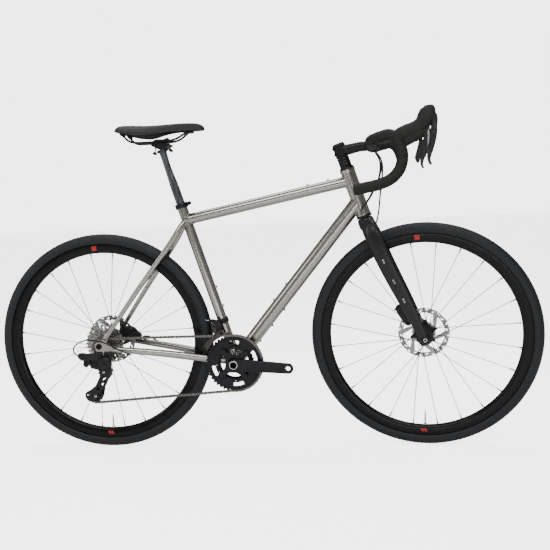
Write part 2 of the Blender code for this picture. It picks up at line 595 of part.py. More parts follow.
for side, s in (("right", 1), ("left", -1)):
    part("bar_tape_" + side, grip, 0 if s > 0 else len(BAR_LINE) - 12, color=(0.016, 0.016, 0.014),
         roughness=0.75)
    part("hood_" + side, tube,
         [(963, -212 * s, 958), (982, -212 * s, 966), (1002, -213 * s, 976), (1012, -214 * s, 992),
          (1018, -215 * s, 1008), (1022, -215 * s, 1021)],
         [(13, 13), (15.5, 17), (16, 20), (16, 18.5), (15, 15), (8, 7)],
         color=(0.018, 0.018, 0.016), roughness=0.7)
    part("brake_lever_" + side, tube,
         [(1041.5, -216 * s, 1000), (1045, -217 * s, 975), (1043, -219 * s, 945), (1034, -221 * s, 905),
          (1030, -222 * s, 880), (1036, -222 * s, 866)],
         [(8, 5), (9, 7), (5, 8), (4.5, 9), (4, 5), (4, 4)], sides=8,
         color=(0.06, 0.06, 0.062), metallic=0.5)
    part("shift_paddle_" + side, plate, (0, 0, 0),
         [(1026, 960), (1028, 930), (1014, 884), (1002, 902), (1014, 948)],
         min(-222 * s, -219.5 * s), max(-222 * s, -219.5 * s), color=(0.04, 0.04, 0.04))

part("front_axle", turned, (WHEELBASE, 0, 351), (0, -1, 0),
     [(0, -60), (6.2, -60), (6.2, 62.0), (9, 62.0), (9, 65), (0.001, 65)], 12, color=(0.06, 0.06, 0.06),
     metallic=0.6)
front_caliper = part("front_caliper", plate, (0, 0, 0),
                     [(930, 430), (948, 444), (968, 408), (980, 376), (966, 370), (942, 398)], 29, 46,
                     color=BLACK)
boolean(front_caliper, [cutter("front_pad_slot", turned, (WHEELBASE, 35.5, 351), (0, 1, 0),
                               [(0, -2.2), (82, -2.2), (82, 2.2)], 32)], "DIFFERENCE")


def cable(points, radius=2.4, sides=6):
    """Smooth cable through a few points."""
    bm = bmesh.new()
    pts = [Vector(p) for p in points]
    path = []
    for i in range(len(pts) - 1):
        p0, p1, p2, p3 = pts[max(i - 1, 0)], pts[i], pts[i + 1], pts[min(i + 2, len(pts) - 1)]
        for k in range(3):
            t = k / 3
            path.append(0.5 * ((2 * p1) + (p2 - p0) * t + (2 * p0 - 5 * p1 + 4 * p2 - p3) * t * t
                               + (3 * p1 - p0 - 3 * p2 + p3) * t ** 3))
    path.append(pts[-1])
    tube(bm, path, [radius] * len(path), sides)
    return bm


for name, points in (
        ("front_brake_hose", [(880, -26, 918), (897, -34, 892), (900, -36, 858), (893, -36, 800),
                              (886, -30, 740), (878.5, -24, 712)]),
        ("rear_brake_hose_loop", [(882, 26, 918), (898, 34, 888), (892, 36, 840), (868, 34, 790),
                                  (838, 27, 750)]),
        ("shift_housing_loop", [(878, -40, 918), (892, -44, 886), (884, -44, 838), (860, -38, 786),
                                (832, -28, 746)]),
        ("rear_brake_hose", [(98, 62, 353), (118, 66, 352), (142, 72, 336), (178, 68, 322)]),
        ("rear_shift_housing", [(104, -81, 322), (60, -90, 347), (20, -93, 368), (-32, -94, 376),
                                (-70, -92, 360), (-78, -88, 338), (-67.5, -86, 322)])):
    add(name, cable(points), (0.012, 0.012, 0.012), roughness=0.5)

# ---------------------------------------------------------------- pivots
WHEEL_PARTS = ("tyre", "rim", "hub", "spokes_right", "spokes_left", "rotor", "valve")
PIVOTS = {
    "steering": (HEAD_MID, STEER_AXIS, None),
    "front_wheel": ((WHEELBASE, 0, 351), Vector((0, 1, 0)), "steering"),
    "rear_wheel": ((0, 0, 351), Vector((0, 1, 0)), None),
    "cranks": (BB, Vector((0, 1, 0)), None),
    "freewheel": ((0, 0, 351), Vector((0, 1, 0)), None),
    "brake_right": (HOOD_PIVOT, Vector((0, 1, 0)), "steering"),
    "brake_left": (mirrored(HOOD_PIVOT), Vector((0, 1, 0)), "steering"),
    "paddle_right": (PADDLE_PIVOT, Vector((0.25, 0, 1)), "brake_right"),
    "paddle_left": (mirrored(PADDLE_PIVOT), Vector((0.25, 0, 1)), "brake_left"),
    "post_slide": (SEAT_TOP, SEAT_AXIS, None),
    "front_shift": ((372, -30, 402), SEAT_AXIS, None),
    "rear_swing": (B_PIVOT, Vector((0, 0, 1)), None),
    "cage_spin": (P_PIVOT, Vector((0, 1, 0)), "rear_swing"),
    "jockey_upper": (UPPER_PULLEY, Vector((0, 1, 0)), "cage_spin"),
    "jockey_lower": (LOWER_PULLEY, Vector((0, 1, 0)), "cage_spin"),
}
RIDERS = {
    "steering": ["fork", "headset_spacers", "stem", "stem_faceplate", "top_cap", "handlebar",
                 "bar_tape_right", "bar_tape_left", "hood_right", "hood_left", "front_axle",
                 "front_caliper", "front_brake_hose", "rear_brake_hose_loop", "shift_housing_loop"],
    "front_wheel": ["front_" + n for n in WHEEL_PARTS],
    "rear_wheel": ["rear_" + n for n in WHEEL_PARTS],
    "cranks": ["crank_right", "crank_left", "large_chainring", "small_chainring"],
    "freewheel": ["cassette"],
    "brake_right": ["brake_lever_right"],
    "brake_left": ["brake_lever_left"],
    "paddle_right": ["shift_paddle_right"],
    "paddle_left": ["shift_paddle_left"],
    "post_slide": ["seatpost", "saddle_clamp", "saddle_rails", "saddle"],
    "front_shift": ["fd_cage"],
    "rear_swing": ["rd_link"],
    "cage_spin": ["rd_cage"],
    "jockey_upper": ["upper_pulley"],
    "jockey_lower": ["lower_pulley"],
}
posed = {}
for name, (point, axis, parent) in PIVOTS.items():
    empty = bpy.data.objects.new(name + "_pivot", None)
    empty.empty_display_size = 0.03
    BIKE.objects.link(empty)
    posed[name] = Matrix.Translation(place(point)) @ axis.to_track_quat("Z", "Y").to_matrix().to_4x4()
    if parent:
        empty.parent = bpy.data.objects[parent + "_pivot"]
        empty.matrix_parent_inverse = posed[parent].inverted()
    empty.matrix_basis = posed[name]
    for rider in RIDERS[name]:
        obj = bpy.data.objects[rider]
        obj.parent = empty
        obj.matrix_parent_inverse = posed[name].inverted()
        for mod in obj.modifiers:
            if mod.type == "BOOLEAN":
                mod.object.parent = empty
                mod.object.matrix_parent_inverse = posed[name].inverted()
turn = bpy.data.objects["steering_pivot"]
turn.matrix_basis = posed["steering"] @ Matrix.Rotation(math.radians(STEER_AT_REST), 4, "Z")
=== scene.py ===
"""Road bicycle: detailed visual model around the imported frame."""
from math import atan2, copysign, cos, degrees, exp, pi, radians, sin, sqrt

import bmesh
import bpy
from mathutils import Matrix, Vector, noise


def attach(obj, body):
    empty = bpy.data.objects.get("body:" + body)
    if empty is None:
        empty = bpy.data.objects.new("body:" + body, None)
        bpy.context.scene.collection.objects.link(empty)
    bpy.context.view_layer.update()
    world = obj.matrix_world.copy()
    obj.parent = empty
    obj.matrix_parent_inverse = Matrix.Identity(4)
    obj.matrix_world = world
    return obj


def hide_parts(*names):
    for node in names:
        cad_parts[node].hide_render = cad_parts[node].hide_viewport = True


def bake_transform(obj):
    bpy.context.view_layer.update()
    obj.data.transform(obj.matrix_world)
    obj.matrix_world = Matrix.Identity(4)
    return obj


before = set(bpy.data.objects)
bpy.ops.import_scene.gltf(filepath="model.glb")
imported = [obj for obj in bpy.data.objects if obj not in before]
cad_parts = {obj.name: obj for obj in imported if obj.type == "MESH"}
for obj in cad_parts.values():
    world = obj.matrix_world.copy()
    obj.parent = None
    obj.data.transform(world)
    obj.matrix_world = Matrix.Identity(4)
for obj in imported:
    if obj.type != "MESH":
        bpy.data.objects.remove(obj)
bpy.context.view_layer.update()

# Millimetres, X forward from the rear axle; place() gives metres about the middle of the wheelbase.
WHEELBASE, WHEEL_R = 1016.8, 351.0
HEAD_ANGLE = 71.5
HEAD_MID = (816.3, 0.0, 800.2)
STEER_AT_REST = -6.0
BB = (424.0, 0.0, 283.0)
SEAT_CLUSTER = (284.6, 0.0, 736.6)
SEAT_TOP = (270.0, 0.0, 786.0)
POST_TOP = (219.5, 0.0, 958.0)
CRANK, CRANK_DROP = 170.0, 5.0
RIM_OUT, RIM_IN = 320.5, 289.5
RING_Y, COG_Y = -47.0, -64.6
LOWER_PULLEY = (-24.0, -64.0, 190.0)
UPPER_PULLEY = (8.0, -64.0, 268.0)
BAR = (870.0, 0.0, 938.0)
PITCH = 12.7
ROOT_X = WHEELBASE / 2


def place(p):
    return Vector(((p[0] - ROOT_X) / 1000, p[1] / 1000, p[2] / 1000))


STEER_AXIS = Vector((-cos(radians(HEAD_ANGLE)), 0, sin(radians(HEAD_ANGLE))))
SEAT_AXIS = (place(SEAT_TOP) - place(BB)).normalized()
TURN = (Matrix.Translation(place(HEAD_MID)) @ Matrix.Rotation(radians(STEER_AT_REST), 4,
    STEER_AXIS) @ Matrix.Translation(-place(HEAD_MID)))
TURNED = {"front_end", "front_wheel", "brake_lever_right", "brake_lever_left", "shift_paddle_right",
    "shift_paddle_left"}


# ------------------------------------------------------------------ materials
def new_material(name):
    mat = bpy.data.materials.new(name)
    mat.use_nodes = True
    return mat, mat.node_tree.nodes, mat.node_tree.links, mat.node_tree.nodes["Principled BSDF"]


def surface(name, dark, light, rough=(0.4, 0.55), metallic=0.0, scale=(60, 60, 60), bump=0.1, bump_mm=0.1,
        grain=400.0, coat=0.0, anisotropic=0.0, specular=0.3):
    """Two tones mixed by noise, roughness that varies with it, and a fine bump."""
    mat, nodes, links, shader = new_material(name)
    coord = nodes.new("ShaderNodeTexCoord")
    mapping = nodes.new("ShaderNodeMapping")
    mapping.inputs["Scale"].default_value = scale
    links.new(coord.outputs["Object"], mapping.inputs["Vector"])
    tone = nodes.new("ShaderNodeTexNoise")
    tone.inputs["Scale"].default_value = 1.0
    tone.inputs["Detail"].default_value = 6.0
    links.new(mapping.outputs["Vector"], tone.inputs["Vector"])
    ramp = nodes.new("ShaderNodeMapRange")
    ramp.inputs["From Min"].default_value = 0.3
    ramp.inputs["From Max"].default_value = 0.7
    links.new(tone.outputs["Fac"], ramp.inputs["Value"])
    mix = nodes.new("ShaderNodeMix")
    mix.data_type = "RGBA"
    mix.inputs["A"].default_value = (*dark, 1)
    mix.inputs["B"].default_value = (*light, 1)
    links.new(ramp.outputs["Result"], mix.inputs["Factor"])
    links.new(mix.outputs["Result"], shader.inputs["Base Color"])
    r = nodes.new("ShaderNodeMapRange")
    r.inputs["To Min"].default_value, r.inputs["To Max"].default_value = rough
    links.new(tone.outputs["Fac"], r.inputs["Value"])
    links.new(r.outputs["Result"], shader.inputs["Roughness"])
    fine = nodes.new("ShaderNodeTexNoise")
    fine.inputs["Scale"].default_value = grain
    fine.inputs["Detail"].default_value = 3.0
    links.new(coord.outputs["Object"], fine.inputs["Vector"])
    bumper = nodes.new("ShaderNodeBump")
    bumper.inputs["Strength"].default_value = bump
    bumper.inputs["Distance"].default_value = bump_mm / 1000
    links.new(fine.outputs["Fac"], bumper.inputs["Height"])
    links.new(bumper.outputs["Normal"], shader.inputs["Normal"])
    shader.inputs["Metallic"].default_value = metallic
    shader.inputs["Coat Weight"].default_value = coat
    shader.inputs["Coat Roughness"].default_value = 0.15
    shader.inputs["Anisotropic"].default_value = anisotropic
    shader.inputs["Specular IOR Level"].default_value = specular
    return mat


# key: (slot, name, dark tone, light tone, roughness range, metallic, noise scale, bump, bump in mm,
#       grain scale, the rest of what surface() takes)
MATERIALS = {
    "titanium": ("titanium", "brushed_titanium", (0.27, 0.258, 0.235), (0.40, 0.385, 0.35), (0.2, 0.3), 1.0,
        (500, 30, 500), 0.04, 0.03, 900),
    "weld": ("titanium", "weld_bead", (0.22, 0.21, 0.19), (0.36, 0.34, 0.31), (0.28, 0.45), 1.0,
        (300, 300, 300), 0.2, 0.1, 600),
    "carbon": ("black_carbon", "matt_carbon", (0.003, 0.003, 0.0035), (0.007, 0.007, 0.0075), (0.36, 0.5),
        0.0, (90, 90, 90), 0.12, 0.06, 700, dict(coat=0.12)),
    "rim": ("rim_black", "rim_carbon", (0.002, 0.002, 0.0025), (0.005, 0.005, 0.0055), (0.22, 0.34), 0.0,
        (60, 60, 60), 0.03, 0.03, 500, dict(coat=0.05, specular=0.15)),
    "tyre": ("tyre_rubber", "tyre_rubber", (0.002, 0.0028, 0.0042), (0.005, 0.0062, 0.0085), (0.55, 0.72),
        0.0, (40, 40, 40), 0.35, 0.15, 500, dict(specular=0.4)),
    "tape": ("grip", "bar_tape", (0.004, 0.004, 0.0035), (0.010, 0.010, 0.008), (0.6, 0.8), 0.0,
        (90, 90, 90), 0.35, 0.12, 900),
    "hood": ("grip", "hood_rubber", (0.005, 0.005, 0.004), (0.010, 0.010, 0.0085), (0.55, 0.7), 0.0,
        (60, 60, 60), 0.3, 0.1, 1300),
    "alloy": ("black_alloy", "black_alloy", (0.004, 0.004, 0.005), (0.010, 0.010, 0.012), (0.32, 0.45),
        0.35, (80, 80, 80), 0.08, 0.05, 900),
    "crank": ("black_alloy", "crank_finish", (0.006, 0.0065, 0.008), (0.012, 0.0125, 0.015), (0.3, 0.42),
        0.4, (60, 60, 60), 0.06, 0.04, 900),
    "post": ("black_alloy", "post_grey", (0.07, 0.076, 0.082), (0.13, 0.138, 0.145), (0.22, 0.32), 0.75,
        (120, 120, 20), 0.04, 0.03, 900),
    "collar": ("blue_black", "collar_blue_black", (0.006, 0.007, 0.014), (0.014, 0.016, 0.028), (0.28, 0.4),
        0.5, (90, 90, 90), 0.06, 0.04, 800),
    "steel": ("steel", "bare_steel", (0.2, 0.198, 0.19), (0.40, 0.395, 0.38), (0.2, 0.32), 1.0,
        (200, 200, 200), 0.1, 0.05, 900, dict(anisotropic=0.2)),
    "chain": ("chain_steel", "chain_steel", (0.07, 0.066, 0.058), (0.20, 0.19, 0.17), (0.32, 0.5), 1.0,
        (260, 260, 260), 0.15, 0.05, 800),
    "link_grey": ("chain_steel", "link_grey", (0.035, 0.032, 0.028), (0.08, 0.074, 0.066), (0.3, 0.45), 0.9,
        (160, 160, 160), 0.1, 0.05, 800),
    "plastic": ("plastic", "satin_plastic", (0.003, 0.003, 0.0035), (0.008, 0.008, 0.009), (0.38, 0.55),
        0.0, (90, 90, 90), 0.25, 0.08, 1200),
    "hose": ("plastic", "hose_cover", (0.003, 0.003, 0.0035), (0.006, 0.006, 0.007), (0.35, 0.5), 0.0,
        (120, 120, 120), 0.1, 0.05, 900),
    "cover": ("cover", "saddle_cover", (0.004, 0.0042, 0.0055), (0.009, 0.0095, 0.012), (0.5, 0.66), 0.0,
        (50, 50, 50), 0.25, 0.08, 1500),
    "silver": ("silver", "bright_silver", (0.55, 0.55, 0.55), (0.75, 0.75, 0.74), (0.2, 0.3), 1.0,
        (200, 200, 200), 0.05, 0.03, 900),
    "spoke": ("steel", "spoke_steel", (0.02, 0.02, 0.021), (0.05, 0.05, 0.05), (0.35, 0.45), 1.0,
        (200, 200, 200), 0.05, 0.02, 900),
    "lever_grey": ("black_alloy", "lever_grey", (0.016, 0.0165, 0.018), (0.04, 0.041, 0.043), (0.3, 0.4),
        0.6, (100, 100, 100), 0.08, 0.04, 900),
    "cap_grey": ("silver", "cap_grey", (0.26, 0.26, 0.25), (0.42, 0.42, 0.41), (0.3, 0.4), 0.7,
        (100, 100, 100), 0.05, 0.04, 900),
    "mark": ("rim_black", "red_mark", (0.30, 0.012, 0.012), (0.42, 0.022, 0.02), (0.4, 0.5), 0.0,
        (200, 200, 200), 0.05, 0.03, 900),
}
MAT, SLOT = {}, {}
for key, (slot_name, *look) in MATERIALS.items():
    more = look.pop() if isinstance(look[-1], dict) else {}
    MAT[key] = surface(*look, **more)
    SLOT[key] = slot_name


# ------------------------------------------------------------------ mesh helpers
def piece(name, bm, mat, body, *stands_for, bevel=0.0, segments=2, smooth=38, remesh=0.0, relax=0):
    """Finish a bmesh made in the straight-ahead frame as one named piece on its body."""
    bmesh.ops.remove_doubles(bm, verts=bm.verts, dist=2e-6)
    bmesh.ops.recalc_face_normals(bm, faces=bm.faces)
    if body in TURNED:
        bm.transform(TURN)
    mesh = bpy.data.meshes.new(name)
    bm.to_mesh(mesh)
    bm.free()
    obj = bpy.data.objects.new(name, mesh)
    bpy.context.scene.collection.objects.link(obj)
    mesh.materials.append(MAT[mat])
    if remesh:
        mod = obj.modifiers.new("remesh", "REMESH")
        mod.mode = "VOXEL"
        mod.voxel_size = remesh / 1000
        if relax:
            mod = obj.modifiers.new("relax", "SMOOTH")
            mod.factor, mod.iterations = 0.6, relax
        bpy.context.view_layer.update()
        final = bpy.data.meshes.new_from_object(obj.evaluated_get(bpy.context.evaluated_depsgraph_get()))
        obj.modifiers.clear()
        obj.data = final
        mesh = final
        if not mesh.materials:
            mesh.materials.append(MAT[mat])
    if bevel:
        mod = obj.modifiers.new("bevel", "BEVEL")
        mod.width, mod.segments = bevel / 1000, segments
        mod.limit_method, mod.angle_limit = "ANGLE", radians(40)
    mesh.shade_smooth()
    mesh.set_sharp_from_angle(angle=radians(180 if remesh else smooth))
    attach(obj, body)
    if stands_for:
        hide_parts(*stands_for)
    return obj


def loft(bm, rings, closed=False, caps=True):
    made = [[bm.verts.new(p) for p in ring] for ring in rings]
    n = len(made[0])
    pairs = list(zip(made, made[1:])) + ([(made[-1], made[0])] if closed else [])
    for a, b in pairs:
        for i in range(n):
            bm.faces.new((a[i], a[(i + 1) % n], b[(i + 1) % n], b[i]))
    if not closed and caps:
        bm.faces.new(made[0][::-1])
        bm.faces.new(made[-1])


def spline(points, per=6):
    """Catmull-Rom through tuples of any length."""
    out = []
    for i in range(len(points) - 1):
        p0, p1, p2, p3 = (points[max(i - 1, 0)], points[i], points[i + 1],
            points[min(i + 2, len(points) - 1)])
        for k in range(per):
            t = k / per
            out.append(tuple(0.5 * (2 * b + (c - a) * t + (2 * a - 5 * b + 4 * c - d) * t * t
                + (3 * b - a - 3 * c + d) * t ** 3) for a, b, c, d in zip(p0, p1, p2, p3)))
    out.append(tuple(float(v) for v in points[-1]))
    return out


def frames(pts, up, closed=False):
    out, side, before = [], None, None
    n = len(pts)
    for i in range(n):
        a = pts[(i - 1) % n] if closed else pts[max(i - 1, 0)]
        b = pts[(i + 1) % n] if closed else pts[min(i + 1, n - 1)]
        t = (b - a).normalized()
        side = up if side is None else before.rotation_difference(t) @ side
        side = (side - t * side.dot(t)).normalized()
        before = t
        out.append((side, t.cross(side)))
    return out


def tube(bm, path, sizes, sides=32, up=(0, 1, 0), closed=False, power=2.0, caps=True):
    """Tube along mm points; a size is a radius or (along up, across); power above 2 squares the section."""
    pts = [place(p) for p in path]
    if not isinstance(sizes, list):
        sizes = [sizes] * len(pts)
    rings = []
    for p, (side, other), size in zip(pts, frames(pts, Vector(up), closed), sizes):
        a, b = size if isinstance(size, tuple) else (size, size)
        ring = []
        for k in range(sides):
            t = 2 * pi * (k + 0.5) / sides
            c, s = cos(t), sin(t)
            ring.append(p + side * (a / 1000 * copysign(abs(c) ** (2 / power),
                c)) + other * (b / 1000 * copysign(abs(s) ** (2 / power), s)))
        rings.append(ring)
    loft(bm, rings, closed, caps)


def swept(bm, points, sides=32, up=(0, 1, 0), per=6, power=2.0, caps=True):
    """Smooth tube through (x, y, z, a, b) points in mm."""
    data = spline(points, per)
    tube(bm, [d[:3] for d in data], [(d[3], d[4]) for d in data], sides, up, power=power, caps=caps)


def rod(bm, a, b, r0, r1=None, sides=32):
    d = (place(b) - place(a)).normalized()
    tube(bm, [a, b], [r0, r0 if r1 is None else r1], sides, (0, 1, 0) if abs(d.y) < 0.9 else (1, 0, 0))


def turned(bm, centre, axis, profile, sides=48):
    """Solid of revolution from (radius, along axis) in mm; ends on the axis are capped."""
    axis = Vector(axis).normalized()
    u = axis.orthogonal().normalized() if abs(axis.y) < 0.9 else Vector((1, 0, 0))
    v = axis.cross(u)
    c = place(centre)
    on_axis = profile[0][0] <= 0.001
    rings = [[c + axis * (h / 1000) + (u * cos(t) + v * sin(t)) * (r / 1000)
        for t in (2 * pi * k / sides for k in range(sides))] for r, h in profile if r > 0.001]
    loft(bm, rings, closed=not on_axis)


def circle(r, n, cx=0.0, cz=0.0, phase=0.0):
    return [(cx + r * cos(phase + 2 * pi * k / n), cz + r * sin(phase + 2 * pi * k / n)) for k in range(n)]


def slot_hole(x, z, length, width, angle, n=6):
    """Outline of a long round-ended hole."""
    out = []
    ca, sa = cos(angle), sin(angle)
    for end in (1, -1):
        for k in range(n + 1):
            t = -pi / 2 + pi * k / n
            px = end * (length / 2 - width / 2) + end * cos(t) * width / 2
            pz = end * sin(t) * width / 2
            out.append((x + px * ca - pz * sa, z + px * sa + pz * ca))
    return out


def sector(r0, r1, a0, a1, n=8):
    steps = [radians(a0 + (a1 - a0) * k / (n - 1)) for k in range(n)]
    return ([(r1 * cos(a), r1 * sin(a)) for a in steps] + [(r0 * cos(a), r0 * sin(a))
        for a in reversed(steps)])


def plate(bm, centre, outline, y0, y1, holes=()):
    """Flat plate in the XZ plane from y0 to y1, with holes."""
    start = len(bm.verts)
    loops = [outline, *holes]
    for y in (y0, y1):
        edges = []
        for loop in loops:
            vs = [bm.verts.new(place((centre[0] + x, y, centre[2] + z))) for x, z in loop]
            edges += [bm.edges.new((vs[i], vs[(i + 1) % len(vs)])) for i in range(len(vs))]
        bmesh.ops.triangle_fill(bm, edges=edges, use_beauty=True)
    bm.verts.ensure_lookup_table()
    half = (len(bm.verts) - start) // 2
    low = start
    for loop in loops:
        n = len(loop)
        for i in range(n):
            j = (i + 1) % n
            bm.faces.new((bm.verts[low + i], bm.verts[low + j], bm.verts[low + half + j],
                bm.verts[low + half + i]))
        low += n


def along(p, axis, mm):
    return (p[0] + axis.x * mm, p[1] + axis.y * mm, p[2] + axis.z * mm)


def fresh(build, *args, **kw):
    bm = bmesh.new()
    build(bm, *args, **kw)
    return bm


def weld(name, a, d, r, b, e, ra, toward=1):
    """Rippled bead where a tube of radius r from a along d meets a tube of radius ra through b along e."""
    a0, b0 = Vector(a), Vector(b)
    u = d.orthogonal().normalized()
    v = d.cross(u)
    pts = []
    n = 180
    for k in range(n):
        t = 2 * pi * k / n
        o = a0 + (u * cos(t) + v * sin(t)) * r - b0
        dp, op = d - e * d.dot(e), o - e * o.dot(e)
        qa, qb, qc = dp.dot(dp), 2 * dp.dot(op), op.dot(op) - ra * ra
        disc = max(qb * qb - 4 * qa * qc, 0)
        s = (-qb + toward * sqrt(disc)) / (2 * qa)
        hit = o + d * s + b0
        pts.append(tuple(hit))
    return piece(name, fresh(tube, pts, [1.9 + 0.35 * sin(k * 2 * pi / 4) for k in range(n)], 8,
        closed=True), "weld", "frame")


def bolt(bm, p, axis, r=3.2, h=2.4, socket=1.6):
    """Round-headed bolt with a hexagon socket."""
    turned(bm, p, axis, [(socket, 0.2), (socket, h), (r * 0.75, h), (r, h * 0.55), (r, 0.0), (socket, 0.0)],
        18)


# ------------------------------------------------------------------ main frame
DOWN_AXIS = Vector((388.0, 0, 475.9)).normalized()
TOP_AXIS = Vector((517.4, 0, 98.8)).normalized()
DOWN_START = (430.0, 0.0, 289.0)


def frame_tubes():
    piece("head_tube", fresh(turned, HEAD_MID, STEER_AXIS, [(18, -74), (23.4, -74), (23.6, -70),
        (22.4, -66), (22.2, -60), (22.2, 60), (22.4, 66), (23.6, 70), (23.4, 74), (18, 74)], 64),
        "titanium", "frame", "main_frame")
    piece("down_tube", fresh(rod, DOWN_START, (818.0, 0.0, 764.9), 21.9, sides=64), "titanium", "frame")
    piece("top_tube", fresh(rod, SEAT_CLUSTER, (802.0, 0.0, 835.4), 16.8, sides=56), "titanium", "frame")
    piece("seat_tube", fresh(turned, BB, SEAT_AXIS, [(14.0, 300), (14.0, 525.5), (15.9, 526.05), (15.9, 0),
        (14.0, 0)], 56), "titanium", "frame")
    piece("bottom_bracket_shell", fresh(turned, BB, (0, 1, 0),
        [(17.4, -34), (20.6, -34), (21, -33.4), (21, 33.4), (20.6, 34), (17.4, 34)], 64), "titanium",
        "frame")
    for side, s in (("right", 1), ("left", -1)):
        piece("chainstay_" + side, fresh(swept, [(416, -20 * s, 285, 9, 12), (330, -33 * s, 297, 8.5, 12),
            (210, -50 * s, 318, 9, 11.5), (120, -63 * s, 331, 8.5, 10.5), (60, -70 * s, 339, 7, 9),
            (26, -74.4 * s, 343, 3.4, 7.5)], 36), "titanium", "frame")
        piece("seatstay_" + side, fresh(swept, [(283, -8 * s, 735, 8, 8), (268, -20 * s, 714, 8.5, 8.5),
            (232, -33 * s, 660, 8.5, 8.5), (125, -56 * s, 518, 8, 8), (50, -70 * s, 414, 7, 7),
            (22, -74.8 * s, 374, 3.6, 6)], 36), "titanium", "frame")
        drop = [(-13, 4), (-13, -4), (-10, -12), (-4, -16), (6, -16), (18, -13), (34, -15), (43, -13),
            (45, -6), (38, 0), (28, 6), (26, 14), (33, 34), (34, 42), (28, 45), (21, 40), (14, 24), (6, 15),
            (-4, 14), (-10, 11)]
        if s > 0:
            drop = drop[:2] + [(-10, -14), (-8, -30), (-4, -37), (3, -39), (10, -36), (13, -28),
                (15, -16)] + drop[6:]
        piece("dropout_" + side, fresh(plate, (0, 0, 351), drop, -71.3 * s, -77.5 * s, [circle(6.6, 24)]),
            "titanium", "frame", bevel=1.2, segments=3)
        weld("seatstay_weld_" + side, (276, -15 * s, 725), (Vector((232, -33 * s, 660)) - Vector((283,
            -8 * s, 735))).normalized(), 8.6, BB, SEAT_AXIS, 15.9, 1)
    piece("seatstay_bridge", fresh(rod, (226, -34, 652), (226, 34, 652), 6), "titanium", "frame")
    piece("chainstay_bridge", fresh(rod, (363, -30, 292), (363, 30, 292), 6), "titanium", "frame")
    weld("weld_head_top", (802.0, 0, 835.4), TOP_AXIS, 16.9, HEAD_MID, STEER_AXIS, 22.2, -1)
    weld("weld_head_down", (818.0, 0, 764.9), DOWN_AXIS, 22.0, HEAD_MID, STEER_AXIS, 22.2, -1)
    weld("weld_seat_top", SEAT_CLUSTER, TOP_AXIS, 16.9, BB, SEAT_AXIS, 15.9, 1)
    weld("weld_shell_down", DOWN_START, DOWN_AXIS, 22.0, BB, Vector((0, 1, 0)), 21.0, 1)
    weld("weld_shell_seat", BB, SEAT_AXIS, 16.0, BB, Vector((0, 1, 0)), 21.0, 1)


def bosses():
    under = Vector((DOWN_AXIS.z, 0, -DOWN_AXIS.x))
    fore = Vector((SEAT_AXIS.z, 0, -SEAT_AXIS.x))
    top = Vector((-TOP_AXIS.z, 0, TOP_AXIS.x))
    spots = ([(DOWN_START, DOWN_AXIS, mm, under, 21.9) for mm in (88, 152, 216)] + [(DOWN_START, DOWN_AXIS,
        mm, -under, 21.9) for mm in (221, 285)] + [(BB, SEAT_AXIS, mm, fore, 15.9)
        for mm in (180, 244)] + [(SEAT_CLUSTER, TOP_AXIS, mm, top, 16.8) for mm in (396, 460)])
    for i, (start, axis, mm, out, r) in enumerate(spots):
        foot = along(along(start, axis, mm), out, r)
        piece("boss_%d" % i, fresh(turned, foot, out, [(2.4, 0.6), (2.4, 1.6), (4.6, 1.6), (5.4, -1.0),
            (2.4, -1.0)], 24), "titanium", "frame")
        piece("boss_bolt_%d" % i, fresh(bolt, along(foot, out, 1.5), out, 4.1, 2.3), "alloy", "frame")


frame_tubes()
bosses()


# ------------------------------------------------------------------ small frame parts
def small_frame_parts():
    bm = fresh(turned, SEAT_TOP, SEAT_AXIS, [(16.2, -13), (19.6, -13), (20.2, -12), (20.2, 1), (19.6, 2),
        (14.2, 2), (14.2, 0.8), (16.2, 0.8)], 56)
    fore = Vector((SEAT_AXIS.z, 0, -SEAT_AXIS.x))
    piece("collar_band", bm, "collar", "frame", "seat_collar")
    for s in (1, -1):
        ear = [along(along(SEAT_TOP, SEAT_AXIS, h), fore, d) for h,
            d in ((-11, 18), (-10, 31), (0, 32), (1, 18))]
        piece("collar_ear_%s" % ("left" if s > 0 else "right"),
            fresh(plate, (0, 0, 0), [(p[0], p[2]) for p in ear], 1.2 * s, 8.5 * s), "collar", "frame",
            bevel=2.2, segments=4)
    tip = along(along(SEAT_TOP, SEAT_AXIS, -5.5), fore, 26)
    piece("collar_bolt", fresh(bolt, (tip[0], -8.4, tip[2]), (0, -1, 0), 3.6, 3.4), "alloy", "frame")
    for side, s in (("right", 1), ("left", -1)):
        teeth = []
        for k in range(48):
            r = 20.5 if (k // 2) % 2 else 19.2
            teeth.append((r * cos(2 * pi * k / 48), r * sin(2 * pi * k / 48)))
        piece("bearing_cup_" + side, fresh(plate, BB, teeth, -34.4 * s, -42.4 * s, [circle(12.8, 36)]),
            "alloy", "frame", "bb_cup_" + side, bevel=0.5)
    piece("upper_cup", fresh(turned, along(HEAD_MID, STEER_AXIS, 74.3), STEER_AXIS,
        [(14.9, 0), (22.2, 0), (23, 1), (22.6, 4), (19.4, 8), (18.2, 9), (14.9, 9)], 56), "alloy", "frame",
        "headset_upper")
    piece("lower_cup", fresh(turned, along(HEAD_MID, STEER_AXIS, -74.3), -STEER_AXIS,
        [(15.4, 0), (22.8, 0), (23.4, 1.2), (23.4, 6.8), (22.6, 8), (15.4, 8)], 56), "alloy", "frame",
        "headset_lower")
    piece("rear_thru_axle", fresh(turned, (0, 0, 351), (0, -1, 0),
        [(0, -77), (6.1, -77), (6.1, 77.8), (9.3, 77.8), (9.6, 78.4), (9.2, 80), (4.2, 80), (4.2, 76),
        (0.01, 76)], 32), "alloy", "frame", "rear_axle")


small_frame_parts()


# ------------------------------------------------------------------ wheels
def tyre_profile(n=28):
    c, r = WHEEL_R - 19.6, 19.6
    half = [(c + r * cos(radians(a)), 1.02 * r * sin(radians(a)))
        for a in [k * 142 / n for k in range(n + 1)]]
    ring = [(max(x, RIM_OUT - 1.0), y) for x, y in half]
    return ring + [(x, -y) for x, y in ring[::-1][:-1]]


